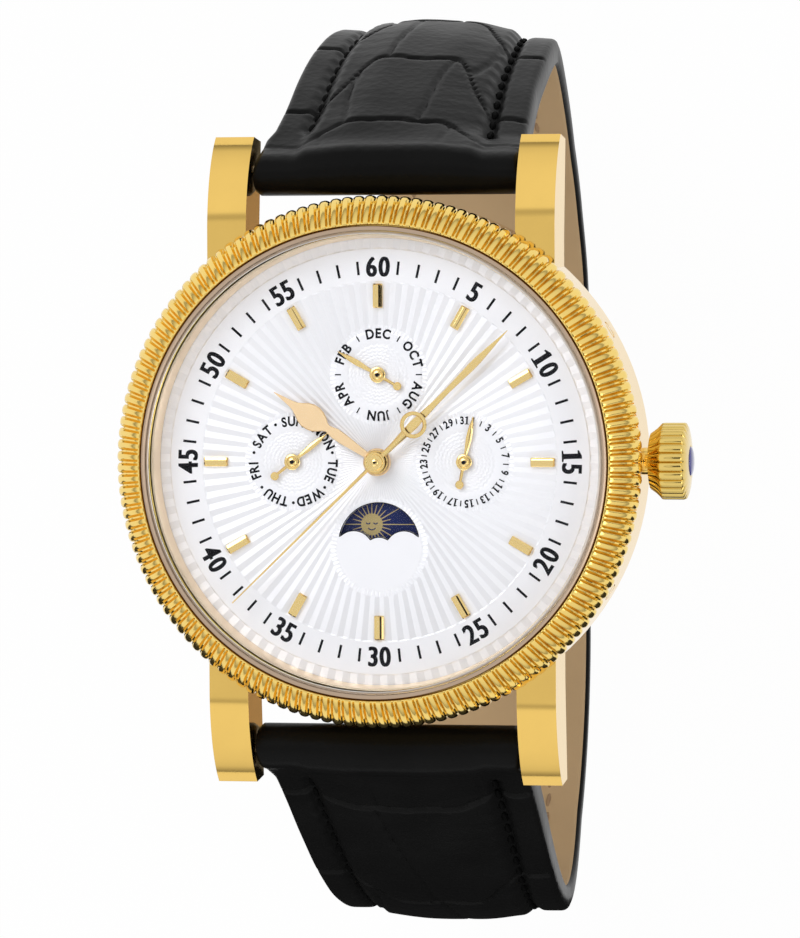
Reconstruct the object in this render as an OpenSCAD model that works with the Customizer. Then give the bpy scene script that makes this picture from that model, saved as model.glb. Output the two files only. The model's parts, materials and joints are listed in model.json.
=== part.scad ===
// Dress wristwatch with a day, date and month calendar, a fluted bezel and a buckled leather strap.
// The origin is the middle of the case back's outer face, +Z runs out through the dial,
// +Y points to 12 o'clock and +X to the crown.

/* [Case] */
// Outer radius of the case band
case_r = 21.1; // [20.5:0.1:22]
// Height where the case band starts above the case back's outer face
band_z0 = 0.6; // [0.5:0.05:0.7]
// Height where the case band meets the bezel
band_z1 = 6.7; // [6.65:0.05:6.75]
// Chamfer round the bottom of the case band
band_chamfer = 0.5; // [0.3:0.05:0.7]
// Thickness of the case from the band's outer face to the movement's bore
case_wall = 3.5; // [3.4:0.02:3.6]
// Height of the dial seat
dial_seat_z = 7.0; // [6.96:0.01:7.04]
// Width of the dial seat
dial_seat_w = 0.7; // [0.6:0.02:0.74]
// Thickness of the collar that the bezel is pressed over
collar_w = 1.3; // [1.1:0.05:1.4]
// Top of the collar
collar_z = 7.7; // [7.55:0.05:7.85]

/* [Lugs] */
// Gap between two lugs, which is the strap width
lug_gap = 22; // [21.6:0.1:22.2]
// Width of one lug
lug_w = 3.2; // [2.9:0.1:3.4]
// Distance from the case band to a lug's square end
lug_l = 5.2; // [5:0.1:5.8]
// Height of the lug end's upper edge
lug_end_z1 = 3.2; // [3:0.1:3.4]
// Height of the lug end's lower edge
lug_end_z0 = 0.6; // [0.5:0.05:0.8]

/* [Bezel] */
// Distance by which the bezel's flutes stand out past the case band
bezel_overhang = 0.3; // [0.2:0.05:0.35]
// Number of flutes round the bezel
bezel_flutes = 140; // [100:2:160]
// Depth of the grooves between flutes
flute_depth = 0.35; // [0.2:0.05:0.45]
// Height of the bezel's outer upper edge
bezel_edge_z = 8.7; // [8.4:0.1:9]
// Height of the bezel's inner upper edge
bezel_top_z = 10.7; // [10.5:0.05:10.9]
// Width of the ledge under the crystal and its gasket
ledge_w = 0.65; // [0.6:0.01:0.7]
// Height of the ledge under the crystal
ledge_z = 9.55; // [9.45:0.05:9.65]

/* [Crystal] */
// Thickness of the gasket round the crystal
gasket_w = 0.45; // [0.38:0.01:0.5]
// Thickness of the crystal at its edge
crystal_t = 1.2; // [0.9:0.05:1.3]
// Rise of the crystal's dome over its edge
crystal_dome = 0.4; // [0.2:0.05:0.6]
// Width of the polished top of the gasket
gasket_lip = 0.1; // [0.05:0.01:0.2]

/* [Dial] */
// Thickness of the dial
dial_t = 0.4; // [0.35:0.01:0.45]
// Distance from the dial axis to each small calendar dial
sub_r = 7.0; // [6.9:0.05:7.1]
// Radius of a small calendar dial
sub_dial_r = 3.9; // [3.6:0.05:4]
// Depth of the small calendar dials
sub_depth = 0.08; // [0.05:0.01:0.12]
// Distance from the dial axis to the day and night disc
moon_y = 6.9; // [6.8:0.05:7]
// Radius of the arched window's top
window_r = 3.25; // [3.15:0.05:3.35]
// Radius of the two humps that close the window below
hump_r = 1.6; // [1.5:0.05:1.65]
// Radius of the small bump between the two humps
bump_r = 1.23; // [1.15:0.02:1.3]
// Thickness of the day and night disc
disc_t = 0.2; // [0.15:0.01:0.25]
// Radius of the day and night disc
disc_r = 3.75; // [3.6:0.05:3.85]
// Distance from the dial flange to the outer end of an hour marker
marker_gap = 3.65; // [3.4:0.05:4]
// Length of an hour marker
marker_l = 1.95; // [1.6:0.05:2.2]
// Width of an hour marker
marker_w = 0.74; // [0.5:0.02:0.9]
// Height of an hour marker
marker_h = 0.35; // [0.2:0.01:0.4]
// Width of the dial flange where it meets the dial
flange_foot_w = 0.35; // [0.3:0.05:0.5]
// Width of the dial flange under the crystal
flange_top_w = 0.2; // [0.16:0.01:0.25]

/* [Hands] */
// Length of the hour hand
hour_l = 10.1; // [9:0.1:11]
// Distance from the minute hand's tip to the dial flange
minute_tip_gap = 2.95; // [2.4:0.05:3.6]
// Distance from the seconds hand's tip to the dial flange
seconds_tip_gap = 1.65; // [1.2:0.05:2.6]
// Length of a calendar hand
calendar_l = 3.75; // [3.3:0.05:3.8]
// Thickness of a hand
hand_t = 0.14; // [0.1:0.01:0.16]
// Hour shown, as an angle past 12
hour_angle = 303.8; // [0:0.1:360]
// Minute shown, as an angle past 12
minute_angle = 45.4; // [0:0.1:360]
// Second shown, as an angle past 12
seconds_angle = 226; // [0:0.1:360]
// Month shown, as an angle past the top of its dial
month_angle = 300; // [0:1:360]
// Day shown, as an angle past the top of its dial
day_angle = 51.4; // [0:0.1:360]
// Date shown, as an angle past the top of its dial
date_angle = 11.6; // [0:0.1:360]
// Height of the calendar hands over the dial
calendar_gap = 0.3; // [0.25:0.01:0.34]
// Height of the hour hand over the dial
hour_gap = 0.66; // [0.62:0.01:0.7]
// Height of the minute hand over the dial
minute_gap = 1.12; // [1.08:0.01:1.16]
// Height of the seconds hand over the dial
seconds_gap = 1.6; // [1.56:0.01:1.64]
// Radius of the hour hand's hub
hour_hub_r = 1.1; // [1:0.02:1.15]
// Radius of the minute hand's hub
minute_hub_r = 0.95; // [0.85:0.02:1.05]
// Radius of the seconds hand's hub
seconds_hub_r = 0.83; // [0.6:0.02:0.9]
// Radius of a calendar hand's hub
calendar_hub_r = 0.64; // [0.55:0.02:0.7]

/* [Crown] */
// Height of the winding stem's axis
stem_z = 4.15; // [4.1:0.01:4.2]
// Radius over the crown's flutes
crown_r = 3.1; // [2.8:0.05:3.2]
// Number of flutes round the crown
crown_flutes = 24; // [18:1:30]
// Depth of the crown's flutes
crown_flute_depth = 0.22; // [0.1:0.02:0.3]
// Gap between the case band and the back of the crown
crown_gap = 0.4; // [0.35:0.05:0.5]
// Length of the crown's flared back
crown_flare_l = 1.05; // [0.9:0.05:1.3]
// Length of the crown's fluted part
crown_grip_l = 1.9; // [1.6:0.05:2]
// Length of the crown's rounded end
crown_end_l = 0.35; // [0.3:0.05:0.45]
// Radius of the blue cabochon in the crown
cabochon_r = 1.2; // [1:0.05:1.3]
// Outward travel of the crown when it is pulled
crown_pull = 0.9; // [0.7:0.05:0.95]
// Radius of the winding stem
stem_r = 0.6; // [0.5:0.01:0.62]
// Outer radius of the crown tube
crown_tube_r = 1.1; // [1.05:0.01:1.12]

/* [Correctors] */
// Radius of a corrector's outer end
corrector_r = 0.7; // [0.6:0.02:0.75]
// Angle of the upper corrector above the crown
corrector_angle = 30; // [27:1:33]
// Inward travel of a corrector
corrector_travel = 0.6; // [0.4:0.05:0.7]

/* [Case back] */
// Width of the case band's rim round the case back
back_rim = 1.3; // [1.26:0.01:1.34]
// Thickness of the case back at its edge
back_t = 1.3; // [1.25:0.01:1.32]
// Number of case back screws
back_screw_count = 6; // [4:1:8]
// Distance of the case back screws from the case back's edge
back_screw_in = 0.8; // [0.78:0.01:0.84]

/* [Movement] */
// Radius of the movement
movement_r = 13; // [12.9:0.02:13.04]
// Clearance round the winding rotor
rotor_gap = 0.8; // [0.5:0.1:1.4]
// Radius of the mainspring barrel
barrel_r = 5.2; // [5:0.02:5.22]
// Radius of the balance wheel
balance_r = 3.1; // [2.8:0.05:3.15]
// Turns of the hairspring
hairspring_turns = 5; // [4:1:6]
// Width between the hairspring's turns
hairspring_pitch = 0.47; // [0.465:0.005:0.5]

/* [Strap] */
// Depth of the closed strap loop below the case back's outer face
loop_depth = 54; // [50:0.5:56]
// Reach of the closed loop towards 12 o'clock where it is widest, on the strap's middle line
loop_half = 35.7; // [35:0.2:37]
// Reach of the closed loop towards 6 o'clock where it is widest, on the strap's middle line
loop_low = 39.8; // [38:0.2:41]
// Depth of that widest place below the case back's outer face
loop_wide_z = 30; // [28:0.5:32]
// Strap width at the buckle
strap_end_w = 18; // [16:0.5:18.4]
// Half of the strap's thickness at the lugs
strap_half_lug = 2.1; // [1.9:0.05:2.2]
// Half of the buckle part's thickness at its end
strap_half_end = 1.3; // [1.15:0.02:1.34]
// Half of the tail's thickness
tail_half = 1.1; // [0.9:0.02:1.12]
// Width of the thin stitched margin along each strap edge
margin_w = 2.6; // [2:0.1:3]
// Depth by which the margin lies under the padded middle
margin_drop = 0.7; // [0.4:0.05:0.8]
// Radius of a spring bar
bar_r = 0.9; // [0.75:0.01:0.95]
// Distance from a lug's square end to the spring bar
bar_in = 2.7; // [2.5:0.05:2.75]
// Height of a spring bar
bar_z = 2.7; // [2.6:0.05:2.8]

/* [Buckle] */
// Place of the buckle bar, up from the dial axis
buckle_y = -1.9; // [-2.1:0.1:-1.7]
// Radius of the buckle bar
buckle_bar_r = 0.6; // [0.5:0.02:0.65]
// Thickness of the buckle frame's sides
frame_w = 1.5; // [1.2:0.1:2]
// Distance from the buckle bar to the frame's outer end
frame_l = 10.8; // [10.6:0.1:11.4]
// Width of the buckle's tongue
tang_w = 1.6; // [1.2:0.1:1.8]
// Thickness of the buckle's tongue
tang_t = 0.9; // [0.7:0.05:0.95]
// Thickness of a keeper's leather
keeper_t = 1.1; // [0.9:0.02:1.12]
// Width of a keeper
keeper_w = 4; // [3.6:0.1:4.2]
// Distance between the holes of the strap
hole_pitch = 6.3; // [6:0.1:6.6]
// Radius of a spare hole
spare_hole_r = 0.8; // [0.6:0.05:0.9]
// Place of the fixed keeper's near edge
fixed_keeper_y = 0.5; // [0.3:0.1:0.7]
// Place of the free keeper's near edge
free_keeper_y = 6.1; // [6:0.1:6.3]
// Place of the tail's tip, up from the dial axis
tail_end_y = 15.5; // [14.5:0.1:16]

/* [Clearances] */
// Clearance of pressed and seated round pieces
seat_gap = 0.04; // [0.02:0.01:0.05]
// Radial clearance of a turning shaft
run_gap = 0.04; // [0.03:0.005:0.05]
// Clearance between soft leather and its neighbours
leather_gap = 0.2; // [0.15:0.01:0.22]

/* [Hidden] */
$fn = 96;

// Cuts run this far past the faces they open
cut = 1;

// Radii from the case band inwards, and lengths from it outwards
bore_r = case_r - case_wall;
dial_bore_r = bore_r + dial_seat_w;
collar_r = dial_bore_r + collar_w;
bezel_r = case_r + bezel_overhang;
bezel_in_r = dial_bore_r + ledge_w;
crystal_r = bezel_in_r - gasket_w;
flange_r0 = dial_bore_r - flange_foot_w;
flange_r1 = dial_bore_r - flange_top_w;
marker_r0 = flange_r0 - marker_gap - marker_l;
minute_l = flange_r0 - minute_tip_gap;
seconds_l = flange_r0 - seconds_tip_gap;
lug_reach = case_r + lug_l;
bar_y = lug_reach - bar_in;
crown_x0 = case_r + crown_gap;
back_r = case_r - back_rim;
back_screw_circle = back_r - back_screw_in;

// Heights of the dial and the stack of hands over it
dial_z = dial_seat_z + dial_t;
calendar_z = dial_z + calendar_gap;
hour_z = dial_z + hour_gap;
minute_z = dial_z + minute_gap;
seconds_z = dial_z + seconds_gap;
crystal_z = ledge_z + crystal_t;

// Levels inside the movement, counted up from the case back
back_floor = 0.9;
rotor_z = back_floor + 0.25;
rotor_web_t = 0.35;
rotor_rim_t = 0.9;
rotor_rim_w = 2.5;
wheel_top = 2.25;
wheel_bottom = 1.75;
bridge_z = 2.3;
bridge_t = 0.6;
train_z = bridge_z + bridge_t;
plate_z = 5.2;
plate_t = 0.7;
motion_z = plate_z + plate_t + 0.05;
motion_t = 0.14;
hour_wheel_z = motion_z + motion_t + 0.06;
calendar_wheel_z = motion_z + 0.05;
calendar_wheel_t = 0.3;
calendar_plate_z = 6.37;
calendar_plate_t = 0.13;
disc_z = calendar_plate_z + calendar_plate_t + 0.05;
foot_w = 1.1;

// Radii of the nested arbors at the dial axis, from the middle outwards
seconds_arbor_r = 0.12;
tube_in_r = seconds_arbor_r + run_gap;
tube_r = 0.3;
slip_gap = 0.02;
cannon_r = 0.5;
hour_pipe_in_r = cannon_r + run_gap;
hour_pipe_r = 0.76;
dial_hole_r = 0.9;
arbor_r = 0.28;
pivot_r = 0.14;
post_r = 0.6;

// Going train: wheel radii, and centres that leave the tooth tips just clear of each other
mesh_gap = 0.05;
centre_pinion_r = 0.8;
centre_wheel_r = 3.55;
third_pinion_r = 0.6;
third_wheel_r = 3.5;
fourth_pinion_r = 0.62;
fourth_wheel_r = 3.4;
escape_pinion_r = 0.45;
escape_wheel_r = 1.9;
function from(p, d, a) = [p[0] + d * cos(a), p[1] + d * sin(a)];
axis0 = [0, 0];
barrel_at = from(axis0, barrel_r + centre_pinion_r + mesh_gap, 72.7);
third_at = from(axis0, centre_wheel_r + third_pinion_r + mesh_gap, 195.3);
escape_at = from(axis0, fourth_wheel_r + escape_pinion_r + mesh_gap, 285);
pallet_at = from(escape_at, escape_wheel_r + 0.95, -40);
balance_at = from(axis0, movement_r - balance_r - 0.35, 311.6);
ratchet_r = 4.0;
crown_wheel_r = 2.9;
crown_wheel_at = from(barrel_at, ratchet_r + crown_wheel_r + mesh_gap, -21.7);
click_at = from(barrel_at, ratchet_r + 1.1, 150);
cannon_tooth_r = 0.8;
minute_wheel_r = 1.7;
minute_pinion_r = 0.5;
minute_at = from(axis0, cannon_tooth_r + minute_wheel_r + mesh_gap, -45);
hour_wheel_r = 2.0;
calendar_wheel_r = 3.0;

// Tooth counts: the fourth wheel turns once a minute, the centre wheel once an hour,
// and the hour wheel once in twelve turns of the cannon pinion
barrel_teeth = 60;
centre_pinion_teeth = 12;
centre_teeth = 80;
third_pinion_teeth = 10;
third_teeth = 75;
fourth_pinion_teeth = 10;
fourth_teeth = 70;
escape_pinion_teeth = 7;
escape_teeth = 15;
cannon_teeth = 12;
minute_teeth = 36;
minute_pinion_teeth = 10;
hour_teeth = 40;
stem_pinion_teeth = 12;
crown_wheel_teeth = 36;
ratchet_teeth = 48;
month_teeth = 48;
day_teeth = 35;
date_teeth = 31;
month_at = [0, sub_r];
day_at = [-sub_r, 0];
date_at = [sub_r, 0];
moon_at = [0, -moon_y];

// Levels of the train between the bridges and the mainplate
third_z = train_z + 0.1;
fourth_z = train_z + 0.45;
centre_z = train_z + 0.75;
barrel_z = train_z + 1.0;
barrel_h = 1.2;
balance_z = train_z + 0.5;
pallet_z = plate_z - 0.95;
train_t = 0.15;

// Winding works along the stem
sliding_x = 7.4;
sliding_l = 1.8;
winding_x = 9.7;
winding_l = 1.1;
pinion_r = 0.85;
stem_x0 = 6.2;

// Crown: stations along its axis
crown_grip_x = crown_x0 + crown_flare_l;
crown_end_x = crown_grip_x + crown_grip_l;
crown_x1 = crown_end_x + crown_end_l;
crown_back_r = crown_r * 0.75;
crown_end_r = cabochon_r + 0.55;
cabochon_seat = 0.35;
cabochon_rise = 0.3;
tube_x0 = bore_r + 0.1;
tube_x1 = crown_x0 + crown_pull + 0.05;
tube_bore_r = stem_r + run_gap;
crown_cavity_r = crown_tube_r + run_gap;
crown_cavity_x = tube_x1 + 0.15;
stem_x1 = crown_cavity_x + 0.9;

// Correctors: a head in the case band and a shank that reaches the movement ring
corrector_shank_r = 0.4;
corrector_head_l = 1.2;
corrector_seat_x = case_r - corrector_head_l - corrector_travel - 0.1;
corrector_head_x = case_r - corrector_head_l;
corrector_tip_x = bore_r - 1;

// Case back seat, spigot, gasket and screws
back_seat_r = back_r + seat_gap;
spigot_r = bore_r - seat_gap;
spigot_in_r = bore_r - 1;
rotor_r = spigot_in_r - rotor_gap;
spigot_z = bridge_z - 0.05;
gasket_groove_r = bore_r + 0.6;
gasket_groove_z = back_t + 0.6;
screw_shank_r = 0.4;
screw_head_r = 0.7;
screw_head_t = 0.5;
screw_depth = 1.4;
slot_w = 0.22;
slot_depth = 0.2;

// Movement ring: ledges for the mainplate and the calendar plate
ring_in_r = movement_r + seat_gap;
ring_out_r = bore_r - seat_gap;
calendar_plate_in = 3.15;
calendar_plate_r = bore_r - calendar_plate_in;
casing_screw_circle = bore_r - 2;

// Lugs and spring bars
lug_x0 = lug_gap / 2;
lug_x1 = lug_x0 + lug_w;
bar_tip_r = 0.4;
bar_tip_l = 0.9;
bar_half = lug_x0 - 0.3;
lug_hole_depth = 1.3;
lug_root_y = case_r - 7.1;
lug_crest_y = case_r - 2.1;

// Strap: levels of the closed loop's flat stretch, counted up from its lowest face
floor_z = -loop_depth;
tail_z = floor_z + keeper_t + leather_gap + tail_half;
inner_z = tail_z + tail_half + leather_gap + strap_half_end;
keeper_top_z = inner_z + strap_half_end + leather_gap + keeper_t;
flat_y = 17;
ramp_y0 = buckle_y - 14.6;
ramp_y1 = buckle_y - 4.6;
tip_l = 7;
tip_half_w = 4.5;
strap_lug_half_w = lug_x0 - leather_gap;
strap_end_half_w = strap_end_w / 2;
steps = 14;

// Buckle: the frame's sides stand beside the strap and its outer bar lies under the tail
frame_in = strap_end_half_w + leather_gap + 0.05;
frame_out = frame_in + frame_w;
frame_y0 = buckle_y - frame_l;
frame_bar_w = 2.4;
frame_bar_z0 = floor_z + 0.35;
frame_bar_z1 = floor_z + 2.05;
tang_tip_y = frame_y0 - 0.3;
tang_drop_y = buckle_y - 3.9;
tang_level = inner_z - 0.12;
tang_low = floor_z + 0.08;
tang_hole_y0 = tang_drop_y - tang_t - 0.75;
tang_hole_y1 = tang_drop_y + 0.75;
tang_hole_w = tang_w + 0.8;

// General shapes

// Flat ring between two heights
module ring(r_out, r_in, z0, z1) {
    difference() {
        translate([0, 0, z0]) cylinder(r = r_out, h = z1 - z0);
        translate([0, 0, z0 - cut]) cylinder(r = r_in, h = z1 - z0 + 2 * cut);
    }
}

// Round bar between two heights at a place on the dial plane
module rod(at, r, z0, z1) {
    translate([at[0], at[1], z0]) cylinder(r = r, h = z1 - z0);
}

// Round bar along X at the stem's height
module stem_rod(r, x0, x1) {
    translate([x0, 0, stem_z]) rotate([0, 90, 0]) cylinder(r = r, h = x1 - x0);
}

// Outline of a toothed wheel: each tooth is a flat tip between two sloped flanks
function teeth(n, r_tip, r_root) = [
    for (i = [0 : n - 1], k = [0 : 3])
        let (a = (i + [0.05, 0.3, 0.5, 0.75][k]) * 360 / n)
        let (r = k == 1 || k == 2 ? r_tip : r_root)
        [r * cos(a), r * sin(a)]
];

// Toothed wheel with a round hole
module wheel(at, r, n, z0, t, bore) {
    depth = min(0.3, r * 0.2);
    difference() {
        translate([at[0], at[1], z0]) linear_extrude(t) polygon(teeth(n, r, r - depth));
        if (bore > 0) rod(at, bore, z0 - cut, z0 + t + cut);
    }
}

// Toothed wheel with spokes
module spoked_wheel(at, r, n, z0, t, hub) {
    rim = r * 0.78;
    difference() {
        wheel(at, r, n, z0, t, 0);
        difference() {
            rod(at, rim, z0 - cut, z0 + t + cut);
            rod(at, hub, z0 - cut, z0 + t + cut);
            for (a = [0 : 90 : 270])
                translate([at[0], at[1], z0 - cut]) rotate(a)
                    translate([0, -r * 0.07, 0]) cube([r, r * 0.14, t + 2 * cut]);
        }
    }
}

// Points of a cubic curve and of its slope
function bez(p, t) = pow(1 - t, 3) * p[0] + 3 * pow(1 - t, 2) * t * p[1]
    + 3 * (1 - t) * t * t * p[2] + pow(t, 3) * p[3];
function slope(p, t) = 3 * pow(1 - t, 2) * (p[1] - p[0]) + 6 * (1 - t) * t * (p[2] - p[1])
    + 3 * t * t * (p[3] - p[2]);
function unit(v) = v / norm(v);
function outward(v) = [-unit(v)[1], unit(v)[0]];

// Case

// Side outline of a lug from the case band to its square end, in Y and Z
function lug_outline() = concat(
    [[lug_root_y, band_z1 - 0.05], [lug_crest_y, band_z1 - 0.05]],
    [for (i = [1 : 16]) bez([
        [lug_crest_y, band_z1 - 0.05],
        [lug_reach - 3.8, band_z1 - 0.25],
        [lug_reach - 1.3, lug_end_z1 + 1.7],
        [lug_reach, lug_end_z1]
    ], i / 16)],
    [[lug_reach - 0.3, lug_end_z0], [lug_reach - 4, lug_end_z0 + 0.4]],
    [[lug_crest_y - 1, band_z0 + 0.9], [lug_root_y, band_z0 + 0.9]]
);

module lug() {
    translate([lug_x0, 0, 0]) rotate([90, 0, 90])
        linear_extrude(lug_w) polygon(lug_outline());
}

module case_profile() {
    polygon([
        [bore_r, band_z0], [case_r - band_chamfer, band_z0], [case_r, band_z0 + band_chamfer],
        [case_r, band_z1], [collar_r, band_z1], [collar_r, collar_z],
        [dial_bore_r, collar_z], [dial_bore_r, dial_seat_z], [bore_r, dial_seat_z]
    ]);
}

module corrector_hole(a) {
    rotate([0, 0, a]) translate([0, 0, stem_z]) rotate([0, 90, 0]) {
        cylinder(r = corrector_shank_r + run_gap, h = case_r + cut);
        translate([0, 0, corrector_seat_x])
            cylinder(r = corrector_r + run_gap, h = case_r);
    }
}

module back_screw_places() {
    for (i = [0 : back_screw_count - 1])
        rotate(i * 360 / back_screw_count + 15) translate([back_screw_circle, 0, 0]) children();
}

module case_middle() {
    color("goldenrod") difference() {
        union() {
            rotate_extrude($fn = 180) case_profile();
            for (x = [0, 1], y = [0, 1]) mirror([x, 0, 0]) mirror([0, y, 0]) lug();
        }
        // movement bore, case back seat and gasket groove
        translate([0, 0, -cut]) cylinder(r = bore_r, h = dial_seat_z + cut, $fn = 180);
        translate([0, 0, -cut]) cylinder(r = back_seat_r, h = back_t + cut, $fn = 180);
        translate([0, 0, -cut]) cylinder(r = gasket_groove_r, h = gasket_groove_z + cut);
        // crown tube, correctors, case back screws and spring bar tips
        stem_rod(crown_tube_r, bore_r - cut, case_r + cut);
        corrector_hole(corrector_angle);
        corrector_hole(-corrector_angle);
        back_screw_places() cylinder(r = screw_shank_r, h = back_t + screw_depth);
        for (x = [-1, 1], y = [-bar_y, bar_y])
            translate([x * (lug_x0 + lug_hole_depth / 2), y, bar_z]) rotate([0, 90, 0])
                cylinder(r = bar_tip_r + run_gap, h = lug_hole_depth + 0.02, center = true);
    }
}

// Outline of the bezel's flutes: a narrow groove, then a broad rounded crest
function flutes(n, r_tip, depth) = [
    for (i = [0 : n - 1], k = [0 : 2])
        let (a = (i + [0, 0.27, 0.73][k]) * 360 / n)
        let (r = k == 0 ? r_tip - depth : r_tip)
        [r * cos(a), r * sin(a)]
];

module bezel() {
    color("gold") difference() {
        intersection() {
            translate([0, 0, band_z1 - cut]) linear_extrude(bezel_top_z - band_z1 + 2 * cut)
                polygon(flutes(bezel_flutes, bezel_r, flute_depth));
            rotate_extrude($fn = 180) polygon([
                [0, band_z1], [bezel_r + cut, band_z1], [bezel_r + cut, bezel_edge_z - 1.65],
                [bezel_r - 0.45, bezel_edge_z + 0.45],
                [bezel_r - 1.2, bezel_top_z - 0.75], [bezel_in_r + 0.2, bezel_top_z],
                [0, bezel_top_z]
            ]);
        }
        translate([0, 0, band_z1 - cut])
            cylinder(r = collar_r + seat_gap, h = collar_z - band_z1 + cut + seat_gap, $fn = 180);
        translate([0, 0, band_z1 - cut]) cylinder(r = dial_bore_r, h = bezel_top_z, $fn = 180);
        translate([0, 0, ledge_z]) cylinder(r = bezel_in_r, h = bezel_top_z, $fn = 180);
    }
}

module crystal() {
    // the dome is a flat cap, drawn as half of its outline and turned
    dome = [for (i = [0 : 10]) let (x = crystal_r * (1 - i / 10))
        [x, crystal_z + crystal_dome * (1 - pow(x / crystal_r, 2))]];
    color("aliceblue", 0.4) rotate_extrude($fn = 180)
        polygon(concat([[0, ledge_z], [crystal_r, ledge_z]], dome));
}

module crystal_gasket() {
    color("silver") rotate_extrude($fn = 180) polygon([
        [crystal_r, ledge_z], [bezel_in_r, ledge_z], [bezel_in_r, bezel_top_z - 0.2],
        [crystal_r + gasket_lip, bezel_top_z - 0.1], [crystal_r, bezel_top_z - 0.1]
    ]);
}

module dial_flange() {
    color("wheat") rotate_extrude($fn = 180) polygon([
        [flange_r0, dial_z], [dial_bore_r - seat_gap, dial_z],
        [dial_bore_r - seat_gap, ledge_z - 0.1], [flange_r1, ledge_z - 0.1]
    ]);
}

// Dial and what is fixed to it

module window_shape() {
    difference() {
        translate([moon_at[0], moon_at[1] + 0.35]) circle(r = window_r);
        translate([moon_at[0] - window_r - cut, moon_at[1] - window_r - cut])
            square([2 * (window_r + cut), window_r + cut + 0.6]);
        for (s = [-1, 1]) translate([moon_at[0] + s * 2.05, moon_at[1] - 0.2]) circle(r = hump_r);
        translate([moon_at[0], moon_at[1] - 0.35]) circle(r = bump_r);
    }
}

module dial() {
    color("whitesmoke") difference() {
        translate([0, 0, dial_seat_z]) cylinder(r = dial_bore_r - seat_gap, h = dial_t, $fn = 180);
        rod(axis0, dial_hole_r, dial_seat_z - cut, dial_z + cut);
        for (at = [month_at, day_at, date_at]) {
            rod(at, arbor_r + run_gap, dial_seat_z - cut, dial_z + cut);
            rod(at, sub_dial_r, dial_z - sub_depth, dial_z + cut);
        }
        translate([0, 0, dial_seat_z - cut]) linear_extrude(dial_t + 2 * cut) window_shape();
    }
}

module hour_markers() {
    color("gold") for (i = [0 : 11]) rotate(-30 * i) translate([0, marker_r0, dial_z])
        rotate([-90, 0, 0]) linear_extrude(marker_l) polygon([
            [-marker_w / 2, 0], [-marker_w / 2, -marker_h * 0.5], [-marker_w * 0.2, -marker_h],
            [marker_w * 0.2, -marker_h], [marker_w / 2, -marker_h * 0.5], [marker_w / 2, 0]
        ]);
}

// Hands: each points along +Y before it is turned to its angle

module place_hand(at, angle, z) {
    translate([at[0], at[1], z]) rotate(-angle) children();
}

// Long leaf that starts narrow, swells and ends in a point
function leaf(y0, y1, w0, w1) = concat(
    [[-w0, y0], [-w1, y0 + (y1 - y0) * 0.55], [0, y1]],
    [[w1, y0 + (y1 - y0) * 0.55], [w0, y0]]
);

module hour_hand() {
    color("burlywood") place_hand(axis0, hour_angle, hour_z) difference() {
        union() {
            cylinder(r = hour_hub_r, h = hand_t);
            linear_extrude(hand_t) polygon([
                [-0.4, 0], [-0.62, 5.6], [-1.25, 6.9], [-0.42, 7.6], [0, hour_l],
                [0.42, 7.6], [1.25, 6.9], [0.62, 5.6], [0.4, 0]
            ]);
        }
        translate([0, 0, -cut]) cylinder(r = hour_pipe_r, h = hand_t + 2 * cut);
    }
}

module minute_hand() {
    color("gold") place_hand(axis0, minute_angle, minute_z) difference() {
        union() {
            cylinder(r = minute_hub_r, h = hand_t);
            linear_extrude(hand_t) polygon(leaf(0, minute_l, 0.25, 0.5));
        }
        translate([0, 0, -cut]) cylinder(r = cannon_r, h = hand_t + 2 * cut);
    }
}

module seconds_hand() {
    ring_at = 4.35;
    ring_r = 1.07;
    color("gold") place_hand(axis0, seconds_angle, seconds_z) difference() {
        union() {
            cylinder(r = seconds_hub_r, h = hand_t + 0.1);
            linear_extrude(hand_t) polygon([
                [-0.16, -ring_at + ring_r - 0.1], [-0.07, seconds_l], [0.07, seconds_l],
                [0.16, -ring_at + ring_r - 0.1]
            ]);
            translate([0, -ring_at, 0]) cylinder(r = ring_r, h = hand_t);
        }
        translate([0, -ring_at, -cut]) cylinder(r = ring_r - 0.32, h = hand_t + 2 * cut);
        translate([0, 0, -cut]) cylinder(r = seconds_arbor_r, h = cut + hand_t);
    }
}

module calendar_hand(at, angle) {
    ball_at = 1.85;
    color("gold") place_hand(at, angle, calendar_z) difference() {
        union() {
            cylinder(r = calendar_hub_r, h = hand_t);
            linear_extrude(hand_t) polygon(leaf(0, calendar_l, 0.1, 0.27));
            linear_extrude(hand_t) polygon([[-0.1, 0], [-0.1, -ball_at], [0.1, -ball_at], [0.1, 0]]);
            translate([0, -ball_at, 0]) cylinder(r = 0.34, h = hand_t);
        }
        translate([0, 0, -cut]) cylinder(r = arbor_r, h = hand_t / 2 + cut);
    }
}
module month_hand() { calendar_hand(month_at, month_angle); }
module day_hand() { calendar_hand(day_at, day_angle); }
module date_hand() { calendar_hand(date_at, date_angle); }

// Calendar works under the dial

module day_night_disc() {
    color("midnightblue") {
        rod(moon_at, disc_r, disc_z, disc_z + disc_t);
        rod(moon_at, arbor_r, calendar_wheel_z, disc_z + disc_t / 2);
    }
}

module calendar_wheel(at, n) {
    color("khaki") {
        wheel(at, calendar_wheel_r, n, calendar_wheel_z, calendar_wheel_t, 0);
        rod(at, arbor_r, calendar_wheel_z, calendar_z + hand_t / 2);
        rod(at, pivot_r, plate_z + 0.2, calendar_wheel_z + 0.1);
    }
}
module month_wheel() { calendar_wheel(month_at, month_teeth); }
module day_wheel() { calendar_wheel(day_at, day_teeth); }
module date_wheel() { calendar_wheel(date_at, date_teeth); }

module calendar_plate() {
    color("silver") difference() {
        translate([0, 0, calendar_plate_z]) cylinder(r = calendar_plate_r, h = calendar_plate_t);
        rod(axis0, dial_hole_r, calendar_plate_z - cut, calendar_plate_z + cut);
        for (at = [month_at, day_at, date_at, moon_at])
            rod(at, arbor_r + run_gap, calendar_plate_z - cut, calendar_plate_z + cut);
    }
}

// Movement

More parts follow.
